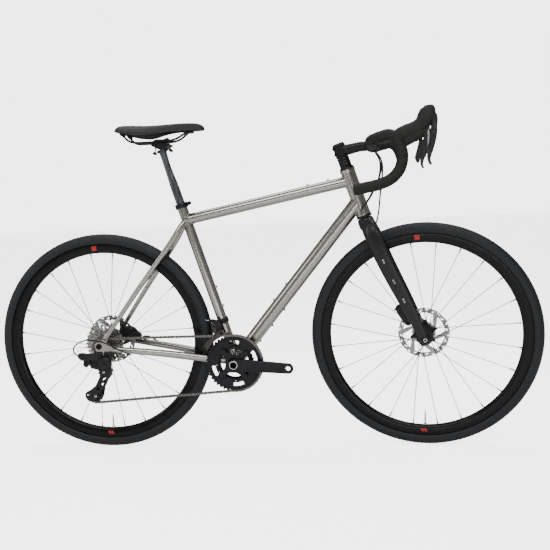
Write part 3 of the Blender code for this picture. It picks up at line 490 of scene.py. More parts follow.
def tyre(name, cx, body):
    piece(name, fresh(turned, (cx, 0, WHEEL_R), (0, 1, 0), tyre_profile(), 180), "tyre", body,
        name.replace("_casing", ""), smooth=60)
    bm = bmesh.new()
    c, r = WHEEL_R - 19.6, 19.3
    rows = [(0, 216, 3.4, 1.5), (11, 216, 3.2, 1.5), (-11, 216, 3.2, 1.5), (23, 180, 3.6, 2.0),
        (-23, 180, 3.6, 2.0), (35, 144, 4.2, 2.6), (-35, 144, 4.2, 2.6), (46, 120, 3.4, 2.2),
        (-46, 120, 3.4, 2.2)]
    for a, n, length, width in rows:
        a = radians(a)
        for k in range(n):
            mid = 2 * pi * (k + (0.5 if a > 0 else 0.0)) / n
            corners = []
            for lift in (0.0, 0.62):
                for da, dt in ((-1, -1), (1, -1), (1, 1), (-1, 1)):
                    shrink = 1.0 if lift == 0 else 0.82
                    aa = a + da * shrink * width / 2 / r
                    tt = mid + dt * shrink * length / 2 / WHEEL_R
                    rad = c + (r + 0.25 + lift - 0.2) * cos(aa)
                    y = 1.02 * (r + 0.25 + lift - 0.2) * sin(aa)
                    rad = min(rad, WHEEL_R - 0.02)
                    corners.append(bm.verts.new(place((cx + rad * cos(tt), y, WHEEL_R + rad * sin(tt)))))
            q = corners
            bm.faces.new((q[4], q[5], q[6], q[7]))
            for i in range(4):
                j = (i + 1) % 4
                bm.faces.new((q[i], q[j], q[4 + j], q[4 + i]))
    piece(name.replace("casing", "tread"), bm, "tyre", body, smooth=20)


def rim(name, cx, body):
    half = [(RIM_OUT - 0.4, 9.5), (RIM_OUT + 0.2, 11.4), (RIM_OUT - 0.6, 12.6), (RIM_OUT - 3, 13),
        (RIM_OUT - 10, 12.8), (RIM_IN + 14, 11.8), (RIM_IN + 7, 10.2), (RIM_IN + 3, 8.2),
        (RIM_IN + 0.8, 5.2), (RIM_IN, 2.4)]
    prof = half + [(x, -y) for x, y in half[::-1]]
    prof += [(RIM_OUT - 4, -8.5), (RIM_OUT - 4, 8.5)]
    piece(name, fresh(turned, (cx, 0, WHEEL_R), (0, 1, 0), prof, 180), "rim", body, name, smooth=50)


def rim_marks(name, cx, body):
    """Plain red bars on both faces, at the top and the bottom of the rim."""
    bm = bmesh.new()
    for s in (1, -1):
        for angle, bars in ((93.5, (0.0,)), (270.0, (-1.8, 0.0))):
            for off in bars:
                a = radians(angle + off)
                half_w = 8.0 if len(bars) == 1 else 4.0
                r0, r1 = (299, 314) if len(bars) == 1 else (298, 308)
                lean = 0 if len(bars) == 1 else 2.4
                quad = []
                for r, w in ((r0, -half_w), (r0, half_w), (r1, half_w), (r1, -half_w)):
                    tt = a + (w + (lean if r == r1 else -lean)) / r
                    y = -s * (11.0 + 2.0 * (min(r, 318) - 296) / 22 + 0.5)
                    quad.append(bm.verts.new(place((cx + r * cos(tt), y, WHEEL_R + r * sin(tt)))))
                bm.faces.new(quad)
    bmesh.ops.solidify(bm, geom=bm.faces[:], thickness=0.0002)
    piece(name + "_marks", bm, "mark", body)


def spokes(name, cx, body, y_hub, hub_r, y_rim, phase, stands_for):
    for k in range(12):
        lean = 37 if k % 2 else -37
        out = radians(phase + 30 * k)
        start = out + radians(lean)
        s = 1 if y_hub > 0 else -1
        step = s * (1.7 if k % 2 else -1.7)
        head = Vector((cx + hub_r * cos(start), y_hub - step * 0.8, WHEEL_R + hub_r * sin(start)))
        elbow = Vector((cx + hub_r * cos(start), y_hub + step, WHEEL_R + hub_r * sin(start)))
        rim_p = Vector((cx + 288.8 * cos(out), y_rim, WHEEL_R + 288.8 * sin(out)))
        d = (rim_p - elbow).normalized()
        bm = bmesh.new()
        path = [tuple(head), tuple(elbow - (elbow - head) * 0.3), tuple(elbow + d * 2.2),
            tuple(elbow + d * 16), tuple(elbow + d * 30), tuple(rim_p - d * 34), tuple(rim_p - d * 14)]
        tube(bm, path, [1.15, 1.15, 1.15, 1.15, 1.1, 1.1, 1.15], 10, up=d.cross(Vector((0, 1, 0))))
        turned(bm, tuple(head), Vector((0, -step, 0)), [(0, 0), (1.9, 0), (1.9, 0.8), (0.01, 0.9)], 10)
        piece("%s_%02d" % (name, k), bm, "spoke", body, *([stands_for] if k == 0 else []))
        bm = bmesh.new()
        base = tuple(rim_p - d * 15.5)
        turned(bm, base, d, [(1.0, 0), (1.75, 0.2), (1.75, 9), (2.3, 10), (2.5, 15.2), (1.0, 15.2)], 12)
        piece("%s_nipple_%02d" % (name, k), bm, "plastic", body)


def hub(name, cx, body, prof, node):
    piece(name, fresh(turned, (cx, 0, WHEEL_R), (0, 1, 0), prof, 64), "alloy", body, node, bevel=0.4)


def rotor(name, cx, body, y):
    outline = []
    for k in range(144):
        a = 2 * pi * k / 144
        r = 79.2 + 0.8 * cos(12 * a) ** 3
        outline.append((r * cos(a), r * sin(a)))
    holes = []
    for k in range(24):
        a = 2 * pi * (k + 0.5) / 24
        r = 75.2 if k % 2 else 70.4
        holes.append(slot_hole(r * cos(a), r * sin(a), 9.4, 3.6, a + radians(58 if k % 2 else 122), 4))
    for k in range(6):
        base = 60 * k
        steps = 7
        w0, w1 = radians(base + 4), radians(base + 49)
        outer = [(64.5 * cos(w0 + (w1 - w0) * i / steps), 64.5 * sin(w0 + (w1 - w0) * i / steps))
            for i in range(steps + 1)]
        lag = radians(30)
        inner = [(37.0 * cos(w1 - lag - (w1 - w0 - 0.2) * i / steps - 0.1),
            37.0 * sin(w1 - lag - (w1 - w0 - 0.2) * i / steps - 0.1)) for i in range(steps + 1)]
        holes.append(outer + inner)
    holes.append(circle(30.0, 48))
    piece(name, fresh(plate, (cx, 0, WHEEL_R), outline, y - 0.9, y + 0.9, holes), "steel", body, name,
        bevel=0.25, segments=1)
    bm = bmesh.new()
    spider = []
    for k in range(96):
        a = 2 * pi * k / 96
        r = 30.5 + 16.0 * max(0.0, cos(6 * (a - radians(20)))) ** 3
        spider.append((r * cos(a), r * sin(a)))
    plate(bm, (cx, 0, WHEEL_R), spider, y - 2.2, y + 2.2, [circle(20.4, 40)])
    piece(name + "_carrier", bm, "alloy", body, bevel=0.5)
    ring = []
    for k in range(64):
        r = 20.2 if (k // 2) % 2 else 18.6
        ring.append((r * cos(2 * pi * k / 64), r * sin(2 * pi * k / 64)))
    piece(name + "_lockring", fresh(plate, (cx, 0, WHEEL_R), ring, y + 0.8, y + 5.0, [circle(12.4, 36)]),
        "alloy", body, bevel=0.4)


def valve(name, cx, body):
    z = WHEEL_R - RIM_IN - 1
    piece(name, fresh(turned, (cx, 0, z), (0, 0, 1), [(0, 0), (3.0, 0), (3.0, 24), (2.6, 25), (2.6, 36),
        (1.6, 37), (1.6, 42.5), (2.3, 43), (2.3, 45), (0.01, 45.2)], 20), "silver", body, name)
    bm = bmesh.new()
    knurl = [(4.8 - 0.4 * (k % 2), 2 * pi * k / 36) for k in range(36)]
    rings = [[place((cx + r * cos(t), r * sin(t), z + h)) for r, t in knurl] for h in (1.2, 4.2)]
    loft(bm, rings)
    piece(name + "_nut", bm, "silver", body)


HUB_FRONT = [(7.9, -49.6), (10.8, -49.6), (11, -49), (11, -34), (13, -32), (20.5, -31), (24.6, -30.6),
    (25.4, -29), (24.6, -27.4), (18, -26), (13.4, -22), (12, -12), (12, 10), (13.4, 19), (18, 23),
    (24.6, 24.4), (25.4, 26), (24.6, 27.6), (20, 28.4), (20, 31), (17, 33), (17, 42), (11, 43), (11, 49),
    (10.8, 49.6), (7.9, 49.6)]
HUB_REAR = [(7.9, -70.6), (10, -70.6), (10, -68.5), (16.2, -68.5), (16.2, -23), (20, -22.4), (27.6, -20.8),
    (28.4, -19), (27.6, -17.2), (20, -15), (15, -9), (14, 0), (14, 18), (16, 26), (22, 30), (27.6, 31.2),
    (28.4, 33), (27.6, 34.8), (20.2, 36), (20, 41), (17, 43), (17, 50), (11, 51), (11, 70), (10.8, 70.6),
    (7.9, 70.6)]
for axle, cx, prof, flanges, rotor_y, hub_r in (("front", WHEELBASE, HUB_FRONT, (-29, 26), 35.5, 22.2),
        ("rear", 0.0, HUB_REAR, (-19, 33), 43.0, 25.2)):
    wheel_body = axle + "_wheel"
    tyre(axle + "_tyre_casing", cx, wheel_body)
    rim(axle + "_rim", cx, wheel_body)
    rim_marks(axle + "_rim", cx, wheel_body)
    hub(axle + "_hub_shell", cx, wheel_body, prof, axle + "_hub")
    spokes(axle + "_spoke_right", cx, wheel_body, flanges[0], hub_r, -3.5, 82.5, axle + "_spokes_right")
    spokes(axle + "_spoke_left", cx, wheel_body, flanges[1], hub_r, 3.5, 97.5, axle + "_spokes_left")
    rotor(axle + "_rotor", cx, wheel_body, rotor_y)
    valve(axle + "_valve", cx, wheel_body)


# ------------------------------------------------------------------ drivetrain
def toothed(teeth, crest=2.4, root=1.9, blunt=0.16):
    """Sprocket outline for half-inch chain."""
    pitch_r = PITCH / (2 * sin(pi / teeth))
    out = []
    for k in range(teeth):
        for f, r in ((-blunt, crest), (blunt, crest), (0.30, -0.6), (0.42, -root), (0.58, -root),
                (0.70, -0.6)):
            a = 2 * pi * (k + f) / teeth
            out.append(((pitch_r + r) * cos(a), (pitch_r + r) * sin(a)))
    return out, pitch_r


def cassette():
    sprockets = [30, 26, 23, 21, 19, 17, 15, 14, 13, 12, 11]
    for i, teeth in enumerate(sprockets):
        y = -25.0 - 3.96 * i
        outline, pitch_r = toothed(teeth)
        holes = [circle(17.0, 36)]
        if teeth >= 17:
            arms = 6 if teeth > 20 else 5
            inner, outer = 22.0, pitch_r - 6.5
            if outer - inner > 3:
                for k in range(arms):
                    base = 360 / arms * k + 13 * i
                    holes.append(sector(inner, outer, base, base + 360 / arms - 15, 7))
                if teeth > 22:
                    for k in range(teeth // 2):
                        a = 2 * pi * (k + 0.25) / (teeth // 2)
                        holes.append(circle(1.6, 8, (pitch_r - 3.9) * cos(a), (pitch_r - 3.9) * sin(a)))
        piece("sprocket_%02d" % teeth, fresh(plate, (0, 0, 351), outline, y - 0.85, y + 0.85, holes),
            "steel", "cassette", *(["cassette"] if i == 0 else []), bevel=0.3, segments=1)
    piece("sprocket_carrier", fresh(turned, (0, 0, 351), (0, 1, 0),
        [(16.6, -23), (20.5, -23), (20.5, -48), (18.6, -48), (18.6, -64), (16.6, -64)], 48), "alloy",
        "cassette")
    ring = [((16.9 - 0.8 * ((k // 2) % 2)) * cos(2 * pi * k / 48),
        (16.9 - 0.8 * ((k // 2) % 2)) * sin(2 * pi * k / 48)) for k in range(48)]
    piece("cassette_lockring", fresh(plate, (0, 0, 351), ring, -65.4, -67.4, [circle(11.4, 32)]), "steel",
        "cassette", bevel=0.3)


def rotated(points, degrees):
    c, s = cos(radians(degrees)), sin(radians(degrees))
    return [(x * c - z * s, x * s + z * c) for x, z in points]


def rounded(points, radius, n=5):
    """Round every corner of an outline."""
    out = []
    m = len(points)
    for i in range(m):
        p0, p1, p2 = Vector(points[i - 1]), Vector(points[i]), Vector(points[(i + 1) % m])
        a, b = (p0 - p1), (p2 - p1)
        cut = min(radius, a.length * 0.45, b.length * 0.45)
        q0, q2 = p1 + a.normalized() * cut, p1 + b.normalized() * cut
        for k in range(n + 1):
            t = k / n
            q = q0 * (1 - t) ** 2 + p1 * 2 * t * (1 - t) + q2 * t * t
            out.append((q.x, q.y))
    return out


def chainrings():
    outline, _ = toothed(44, 1.7, 3.0)
    holes = [circle(50.0, 64)]
    for a in (20, 90, 200, 279):
        holes.append(rounded(sector(62.0, 73.0, a - 14, a + 14, 7), 4, 3))
        for off in (-14, -7, 0, 7, 14):
            m = radians(a + off)
            holes.append(circle(2.0, 10, 56.0 * cos(m), 56.0 * sin(m)))
    piece("large_ring", fresh(plate, BB, outline, RING_Y - 1.2, RING_Y + 1.2, holes), "crank", "cranks",
        "large_chainring", bevel=0.4, segments=1)
    piece("large_ring_lip", fresh(turned, BB, (0, 1, 0), [(79.5, RING_Y - 2.6), (82.5, RING_Y - 2.2),
        (83.0, RING_Y - 1.1), (79.0, RING_Y - 1.1)], 120), "crank", "cranks")
    outline, _ = toothed(30, 1.7, 2.6)
    holes = [circle(44.5, 48)]
    piece("small_ring", fresh(plate, BB, outline, RING_Y + 6.6, RING_Y + 8.8, holes), "crank", "cranks",
        "small_chainring", bevel=0.3, segments=1)


def arm_outline(root, width0, width1, tip=16.5):
    pts = [(0, root), (26, width0)]
    pts += [(CRANK - 20, width1), (CRANK, tip)]
    end = [(CRANK + tip * cos(radians(a)), tip * sin(radians(a))) for a in range(75, -76, -15)]
    return pts[:-1] + end + [(CRANK - 20, -width1), (26, -width0), (0, -root)]


def cranks():
    hole = circle(7.2, 32, CRANK, 0)
    body = arm_outline(19, 19, 16.5) + [(-17 * sin(radians(a)), -17 * cos(radians(a)))
        for a in range(20, 161, 20)]
    body = rotated(body, -CRANK_DROP)
    piece("crank_arm_right", fresh(plate, BB, body, -73.0, -58.5,
        [rotated(hole, -CRANK_DROP), circle(10.4, 40)]), "crank", "cranks", "crank_right", bevel=4.2,
        segments=5)
    legs = []
    for a in (45, 135, 225, 315):
        for off, r in ((-24, 29), (-9.5, 44), (-9.0, 55), (-4, 58.5), (4, 58.5), (9.0, 55), (9.5, 44),
                (24, 29)):
            m = radians(a + off - CRANK_DROP)
            legs.append((r * cos(m), r * sin(m)))
    piece("crank_spider", fresh(plate, BB, rounded(legs, 4, 3), -60, -49, [circle(20, 40)]), "crank",
        "cranks", bevel=2.2, segments=4)
    bm = bmesh.new()
    for a in (45, 135, 225, 315):
        m = radians(a - CRANK_DROP)
        bolt(bm, (BB[0] + 53 * cos(m), RING_Y + 9, BB[2] + 53 * sin(m)), (0, 1, 0), 4.4, 2.0, 2.0)
    piece("chainring_bolts", bm, "alloy", "cranks")
    piece("crank_axle_ring", fresh(turned, BB, (0, -1, 0), [(10.6, 71.5), (13.2, 71.5), (13.4, 73.4),
        (12.8, 74.3), (11.2, 74.3), (10.6, 73.5)], 56), "silver", "cranks")
    piece("crank_axle", fresh(turned, BB, (0, -1, 0), [(9.6, -66), (12.0, -66), (12.0, 62), (10.8, 68),
        (10.6, 73.1), (9.4, 73.1), (9.4, 40), (9.0, 38), (9.0, -60)], 48), "alloy", "cranks")
    piece("crank_axle_plug", fresh(turned, (BB[0], -52, BB[2]), (0, -1, 0),
        [(0, 0), (9.3, 0), (9.3, 2), (4, 3), (0.01, 3)], 32), "plastic", "cranks")
    body = arm_outline(18, 18, 16) + [(-18 * sin(radians(a)), -18 * cos(radians(a)))
        for a in range(10, 171, 20)]
    piece("crank_arm_left", fresh(plate, BB, rotated(body, 180 - CRANK_DROP), 58.5, 73,
        [rotated(hole, 180 - CRANK_DROP), circle(12.4, 40)]), "crank", "cranks", "crank_left", bevel=4.0,
        segments=5)
    piece("crank_preload_cap", fresh(turned, BB, (0, 1, 0), [(0, 66), (11.8, 66), (11.8, 73.4), (9, 74.4),
        (5, 74.4), (5, 72.5), (0.01, 72.5)], 40), "plastic", "cranks")
    bm = bmesh.new()
    d = radians(180 - CRANK_DROP)
    for off in (16, 24):
        p = (BB[0] + off * cos(d), 65.5, BB[2] + off * sin(d) - 18.5)
        bolt(bm, p, (0, 0, -1), 3.4, 2.6)
    piece("crank_pinch_bolts", bm, "alloy", "cranks")


def chain_path():
    """Closed centre line of the chain in mm."""
    pts = []
    ring_r = PITCH / (2 * sin(pi / 44))
    cog_r = PITCH / (2 * sin(pi / 11)) + 0.4

    def arc(c, r, a0, a1, y):
        n = max(2, int(abs(a1 - a0) * r / 57.3 / 3))
        for k in range(n + 1):
            a = radians(a0 + (a1 - a0) * k / n)
            pts.append(Vector((c[0] + r * cos(a), y, c[2] + r * sin(a))))

    arc(BB, ring_r, -96, 93, RING_Y)
    arc((0, 0, 351), cog_r, 90, 224, COG_Y)
    arc(UPPER_PULLEY, 23.2, 44, -61, COG_Y)
    arc(LOWER_PULLEY, 23.2, 119, 274, COG_Y)
    return pts


def resample(pts, spacing):
    closed = pts + [pts[0]]
    total = sum((b - a).length for a, b in zip(closed, closed[1:]))
    n = 2 * round(total / spacing / 2)
    step = total / n
    out, walked, target = [], 0.0, 0.0
    for a, b in zip(closed, closed[1:]):
        seg = (b - a).length
        while target < walked + seg - 1e-9 and len(out) < n:
            out.append(a + (b - a) * ((target - walked) / seg))
            target += step
        walked += seg
    return out


def chain():
    pins = resample(chain_path(), PITCH)
    bm = bmesh.new()
    n = len(pins)
    for i in range(n):
        a, b = pins[i], pins[(i + 1) % n]
        mid = (a + b) / 2
        ang = atan2(b.z - a.z, b.x - a.x)
        half = (b - a).length / 2
        outer = i % 2 == 0
        outline = []
        for end in (1, -1):
            for k in range(7):
                t = radians(-78 + 156 * k / 6)
                outline.append((end * (half + 4.1 * cos(t)), end * 4.1 * sin(t)))
            outline.append((end * 0.01, end * 3.0))
        outline = rotated(outline, degrees(ang))
        for s in (1, -1):
            y0, y1 = (s * 2.85, s * 3.6) if outer else (s * 1.85, s * 2.65)
            skew = (b.y - a.y) / (2 * half)
            start = len(bm.verts)
            plate(bm, (mid.x, 0, mid.z), outline, mid.y + y0, mid.y + y1)
            bm.verts.ensure_lookup_table()
            for v in bm.verts[start:]:
                dx = (v.co.x - place(mid).x) * cos(ang) + (v.co.z - place(mid).z) * sin(ang)
                v.co.y += skew * dx
        turned(bm, tuple(a), (0, 1, 0), [(0, -3.9), (1.7, -3.9), (1.7, 3.9), (0.01, 3.9)], 8)
        turned(bm, tuple(a), (0, 1, 0), [(2.0, -1.75), (3.8, -1.75), (3.8, 1.75), (2.0, 1.75)], 10)
    piece("chain_links", bm, "chain", "frame", "chain", smooth=30)


cassette()
chainrings()
cranks()
chain()


# ------------------------------------------------------------------ derailleurs
def derailleurs():
    piece("rd_knuckle", fresh(swept, [(10, -83, 322, 3.5, 10), (-4, -84, 322, 5, 12),
        (-20, -85, 322, 6.5, 11), (-36, -86, 320, 6, 12), (-50, -87, 322, 6, 13), (-62, -87, 326, 5, 9),
        (-66, -87, 327, 3, 5)], 24, (0, 1, 0), 5, 3.0), "plastic", "frame", "rd_body", remesh=1.3, relax=3)
    piece("rd_hanger_bolt", fresh(turned, (3, -78, 322), (0, -1, 0),
        [(0, 0), (8.6, 0), (8.6, 10), (7.4, 12), (3.2, 12), (3.2, 9.5), (0.01, 9.5)], 32), "alloy", "frame")
    piece("rd_cable_arm", fresh(plate, (0, 0, 0), rounded([(-44, 318), (-52, 296), (-40, 286), (-30, 296),
        (-26, 310)], 5), -90, -83), "plastic", "frame", bevel=1.8, segments=3)
    piece("rd_cable_bolt", fresh(bolt, (-40, -90, 303), (0, -1, 0), 4.0, 3.0), "alloy", "frame")
    piece("rd_parallelogram", fresh(plate, (0, 0, 0), rounded([(-34, 306), (-30, 284), (-8, 278), (16, 280),
        (20, 300), (4, 312), (-18, 314)], 7), -84, -72.6), "plastic", "rd_link", "rd_link", bevel=2.4,
        segments=4)
    piece("rd_link_plate", fresh(plate, (0, 0, 0), rounded([(-26, 302), (-20, 290), (2, 286), (6, 296),
        (-8, 304)], 4), -86, -83.6), "alloy", "rd_link", bevel=0.8, segments=3)
    piece("rd_p_knuckle", fresh(turned, (16, -70, 300), (0, -1, 0),
        [(0, 0), (19, 0), (21, 2), (21, 12), (19, 16), (12, 18.4), (0.01, 19)], 48), "plastic", "rd_cage",
        smooth=50)
    piece("rd_p_knuckle_cap", fresh(turned, (16, -89, 300), (0, -1, 0),
        [(3.0, -1.0), (3.0, 0.4), (6.4, 0.6), (7.2, -0.4), (7.2, -1.0)], 28), "alloy", "rd_cage")
    outer = rounded([(4, 312), (26, 310), (35, 300), (34, 282), (26, 252), (12, 224), (-4, 206), (-14, 196),
        (-17, 186), (-26, 180), (-34, 172), (-48, 172), (-58, 184), (-60, 194), (-55, 204), (-38, 211),
        (-22, 224), (-8, 252), (-2, 276), (-3, 300)], 6, 4)
    windows = [rounded([(5, 258), (16, 254), (10, 238), (0, 242)], 3, 3),
        rounded([(-3, 236), (6, 232), (-2, 220), (-10, 226)], 2.5, 3),
        rounded([(-14, 220), (-8, 215), (-14, 208), (-22, 213)], 2, 3),
        rounded([(-44, 200), (-38, 192), (-46, 188), (-53, 194)], 2.4, 3), circle(4.0, 16, -24, 190)]
    piece("rd_cage_outer", fresh(plate, (0, 0, 0), outer, -72, -69.6, windows), "plastic", "rd_cage",
        "rd_cage", bevel=0.7, segments=2)
    inner = rounded([(2, 284), (18, 280), (22, 264), (6, 222), (-2, 186), (-16, 170), (-32, 174),
        (-44, 190), (-30, 210), (-10, 250)], 8, 4)
    piece("rd_cage_inner", fresh(plate, (0, 0, 0), inner, -58.4, -56.6,
        [circle(4, 16, -24, 190), circle(4, 16, 8, 268), rounded([(2, 250), (10, 244), (0, 216), (-8, 222)],
        3, 3)]), "plastic", "rd_cage", bevel=0.5, segments=2)
    for label, c in (("upper", UPPER_PULLEY), ("lower", LOWER_PULLEY)):
        outline = []
        for k in range(11):
            for f, r in ((-0.2, 22.2), (0.2, 22.2), (0.34, 19.4), (0.5, 17.8), (0.66, 19.4)):
                a = 2 * pi * (k + f) / 11
                outline.append((r * cos(a), r * sin(a)))
        holes = [circle(4.0, 20)] + [circle(2.7, 14, 11.2 * cos(t), 11.2 * sin(t))
            for t in (2 * pi * k / 5 for k in range(5))]
        piece(label + "_jockey", fresh(plate, c, outline, COG_Y - 1.9, COG_Y + 1.9, holes), "plastic",
            label + "_pulley", label + "_pulley", bevel=0.5)
        piece(label + "_pulley_bolt", fresh(turned, (c[0], -72.2, c[2]), (0, -1, 0),
            [(0, -16), (3.6, -16), (3.6, -0.2), (4.8, 0), (4.8, 1.6), (2.2, 2.0), (2.2, 0.4), (0.01, 0.4)],
            24), "steel", "rd_cage")
    # front derailleur
    fd_mid = along(BB, SEAT_AXIS, 135)
    piece("fd_band", fresh(turned, fd_mid, SEAT_AXIS, [(16.2, -8), (18.8, -8), (19.4, -7), (19.4, 7),
        (18.8, 8), (16.2, 8)], 48), "plastic", "frame", "fd_clamp")
    piece("fd_body", fresh(plate, (372, 0, 402), rounded([(-16, -20), (-4, -27), (11, -18), (13, 6),
        (4, 16), (-14, 15), (-18, 0)], 5), -40, -17), "plastic", "frame", bevel=2.5, segments=4)
    piece("fd_link_plate", fresh(plate, (372, 0, 402), rounded([(-12, -24), (-1, -26), (-4, 4), (-11, 12),
        (-17, 8)], 4), -42.4, -40.2, [rounded([(-10, -6), (-6, -6), (-7, 3), (-11, 4)], 1.5, 3)]),
        "link_grey", "frame", bevel=0.6, segments=2)
    bm = bmesh.new()
    plate(bm, (372, 0, 402), rounded([(-26, 14), (-20, 20), (-6, 18), (-6, 10), (-22, 8)], 3), -36, -24)
    bolt(bm, (392, -20, 407), (1, 0, 0), 4.2, 4.0)
    piece("fd_cable_clamp", bm, "alloy", "frame", bevel=1.0)
    piece("fd_cable_end", fresh(rod, (346, -30, 418), (336, -30, 419), 1.0, sides=12), "silver", "frame")
    outline = rounded(sector(94, 109, 112, 153, 14), 3, 3)
    piece("fd_cage_outer", fresh(plate, BB, outline, -56, -54.6), "link_grey", "fd_cage", "fd_cage",
        bevel=0.5)
    piece("fd_cage_inner", fresh(plate, BB, rounded(sector(94, 112, 108, 150, 14), 3, 3), -43, -41.6),
        "link_grey", "fd_cage", bevel=0.5)
    bm = fresh(plate, BB, rounded(sector(109.2, 114, 106, 116, 5), 1.5, 3), -56, -41.6)
    plate(bm, BB, rounded(sector(100, 106, 149, 153, 3), 1.5, 3), -56, -41.6)
    piece("fd_cage_bridges", bm, "link_grey", "fd_cage", bevel=0.8)


derailleurs()


# ------------------------------------------------------------------ brakes and hoses
def hose(name, points, body, node, radius=2.5, per=10, mat="hose"):
    data = spline([tuple(float(v) for v in p) for p in points], per)
    return piece(name, fresh(tube, data, radius, 14), mat, body, *([node] if node else []), smooth=80)


def brakes():
    bm = fresh(plate, (62, 0, 370), rounded([(-26, -12), (-8, -19), (12, -21), (34, -19), (36, -8), (22, 2),
        (14, 14), (-4, 21), (-14, 22), (-24, 14)], 5), 45.5, 62)
    plate(bm, (62, 0, 370), rounded([(-24, -10), (12, -20), (30, -18), (30, -8), (12, 10), (-14, 20),
        (-24, 12)], 5), 36.5, 41)
    plate(bm, (62, 0, 370), rounded([(16, -20), (34, -19), (36, -8), (24, 0), (20, -6)], 3), 40, 47)
    piece("rear_brake_body", bm, "plastic", "frame", "rear_caliper", bevel=1.8, segments=4)
    bm = bmesh.new()
    for x, z in ((42, 384), (84, 352), (66, 362)):
        bolt(bm, (x, 61.5, z), (0, 1, 0), 4.2, 2.4)
    piece("rear_brake_bolts", bm, "silver", "frame")
    bm = fresh(plate, (0, 0, 0), rounded([(928, 430), (938, 440), (950, 444), (958, 432), (968, 410),
        (980, 380), (976, 372), (964, 372), (950, 388), (938, 408)], 5), 38.2, 46)
    plate(bm, (0, 0, 0), rounded([(930, 430), (950, 442), (966, 410), (976, 380), (966, 374), (944, 400)],
        5), 29, 33)
    plate(bm, (0, 0, 0), rounded([(928, 428), (948, 440), (952, 424), (936, 414)], 3), 32, 39)
    piece("front_brake_body", bm, "plastic", "front_end", "front_caliper", bevel=1.8, segments=4)
    bm = bmesh.new()
    for x, z in ((936, 428), (972, 380), (952, 406)):
        bolt(bm, (x, 45.8, z), (0, 1, 0), 4.0, 2.2)
    turned(bm, (930, 38, 424), (-1, 0, 0.2), [(0, 0), (4.2, 0), (4.2, 4), (0.01, 4.4)], 20)
    piece("front_brake_bolts", bm, "silver", "front_end")


brakes()
hose("rear_hose", [(98, 62, 353), (118, 66, 352), (142, 72, 336), (178, 68, 322)], "frame",
    "rear_brake_hose", 2.6)
hose("rear_housing", [(104, -78, 322), (60, -90, 347), (20, -93, 368), (-32, -94, 376), (-70, -92, 360),
    (-78, -88, 338), (-66, -86, 324)], "frame", "rear_shift_housing", 2.3)
hose("front_hose", [(880, -26, 918), (897, -34, 892), (900, -36, 858), (893, -36, 800), (886, -30, 740),
    (878.5, -24, 706)], "front_end", "front_brake_hose", 2.5)


# ------------------------------------------------------------------ front end
def fork():
    bm = bmesh.new()
    crown = along(HEAD_MID, STEER_AXIS, -83)
    turned(bm, crown, -STEER_AXIS, [(0, 0.3), (22.8, 0.3), (24.4, 4), (25.6, 14), (25.6, 26), (22, 36),
        (0.01, 40)], 40)
    for s in (1, -1):
        swept(bm, [(846, -6 * s, 706, 12, 21), (853, -22 * s, 698, 14, 23), (862, -36 * s, 678, 13.5, 25),
            (879, -46 * s, 640, 11, 26), (900, -51 * s, 592, 9.5, 25), (922, -53.5 * s, 545, 8.5, 24),
            (944, -55 * s, 500, 8.2, 22.5), (966, -56 * s, 456, 7.8, 20.5), (988, -56 * s, 410, 7.2, 18),
            (1005, -55.6 * s, 374, 6.6, 15.5), (1013, -55 * s, 350, 5.4, 13.5),
            (1015, -55 * s, 340, 4.6, 10)], 32, (0, 1, 0), 4, 2.3)
    piece("fork_blades", bm, "carbon", "front_end", "fork", remesh=2.2, relax=6)
    for side, s in (("right", 1), ("left", -1)):
        piece("fork_end_" + side, fresh(turned, (WHEELBASE, 0, 351), (0, -s, 0),
            [(6.6, 50.4), (11.5, 50.4), (13.6, 51), (13.8, 59), (12.8, 60.4), (6.6, 60.4)], 40), "alloy",
            "front_end")
        bm = bmesh.new()
        for x, z in ((896, 596), (926, 534), (954, 476)):
            for dx, dz in ((0, 0), (3.2, -7)):
                turned(bm, (x + dx, (-61.0 + (0 if z > 500 else -1.6)) * s, z + dz), (0, -s, 0),
                    [(0, 0), (3.0, 0), (3.0, 2.0), (1.5, 2.2), (1.5, 1.2), (0.01, 1.2)], 16)
        piece("fork_bosses_" + side, bm, "steel", "front_end")
    piece("steerer", fresh(rod, along(HEAD_MID, STEER_AXIS, -80), along(HEAD_MID, STEER_AXIS, 150), 14.3),
        "carbon", "front_end")
    piece("front_thru_axle", fresh(turned, (WHEELBASE, 0, 351), (0, -1, 0),
        [(0, -60), (6.1, -60), (6.1, 62), (9.0, 62), (9.4, 62.6), (9.2, 65), (3.6, 65), (3.6, 61),
        (0.01, 61)], 32), "alloy", "front_end", "front_axle")
    piece("front_axle_ring", fresh(turned, (WHEELBASE, -65.05, 351), (0, -1, 0),
        [(3.7, -0.6), (3.7, 0.1), (5.4, 0.1), (5.4, -0.6)], 32), "silver", "front_end")


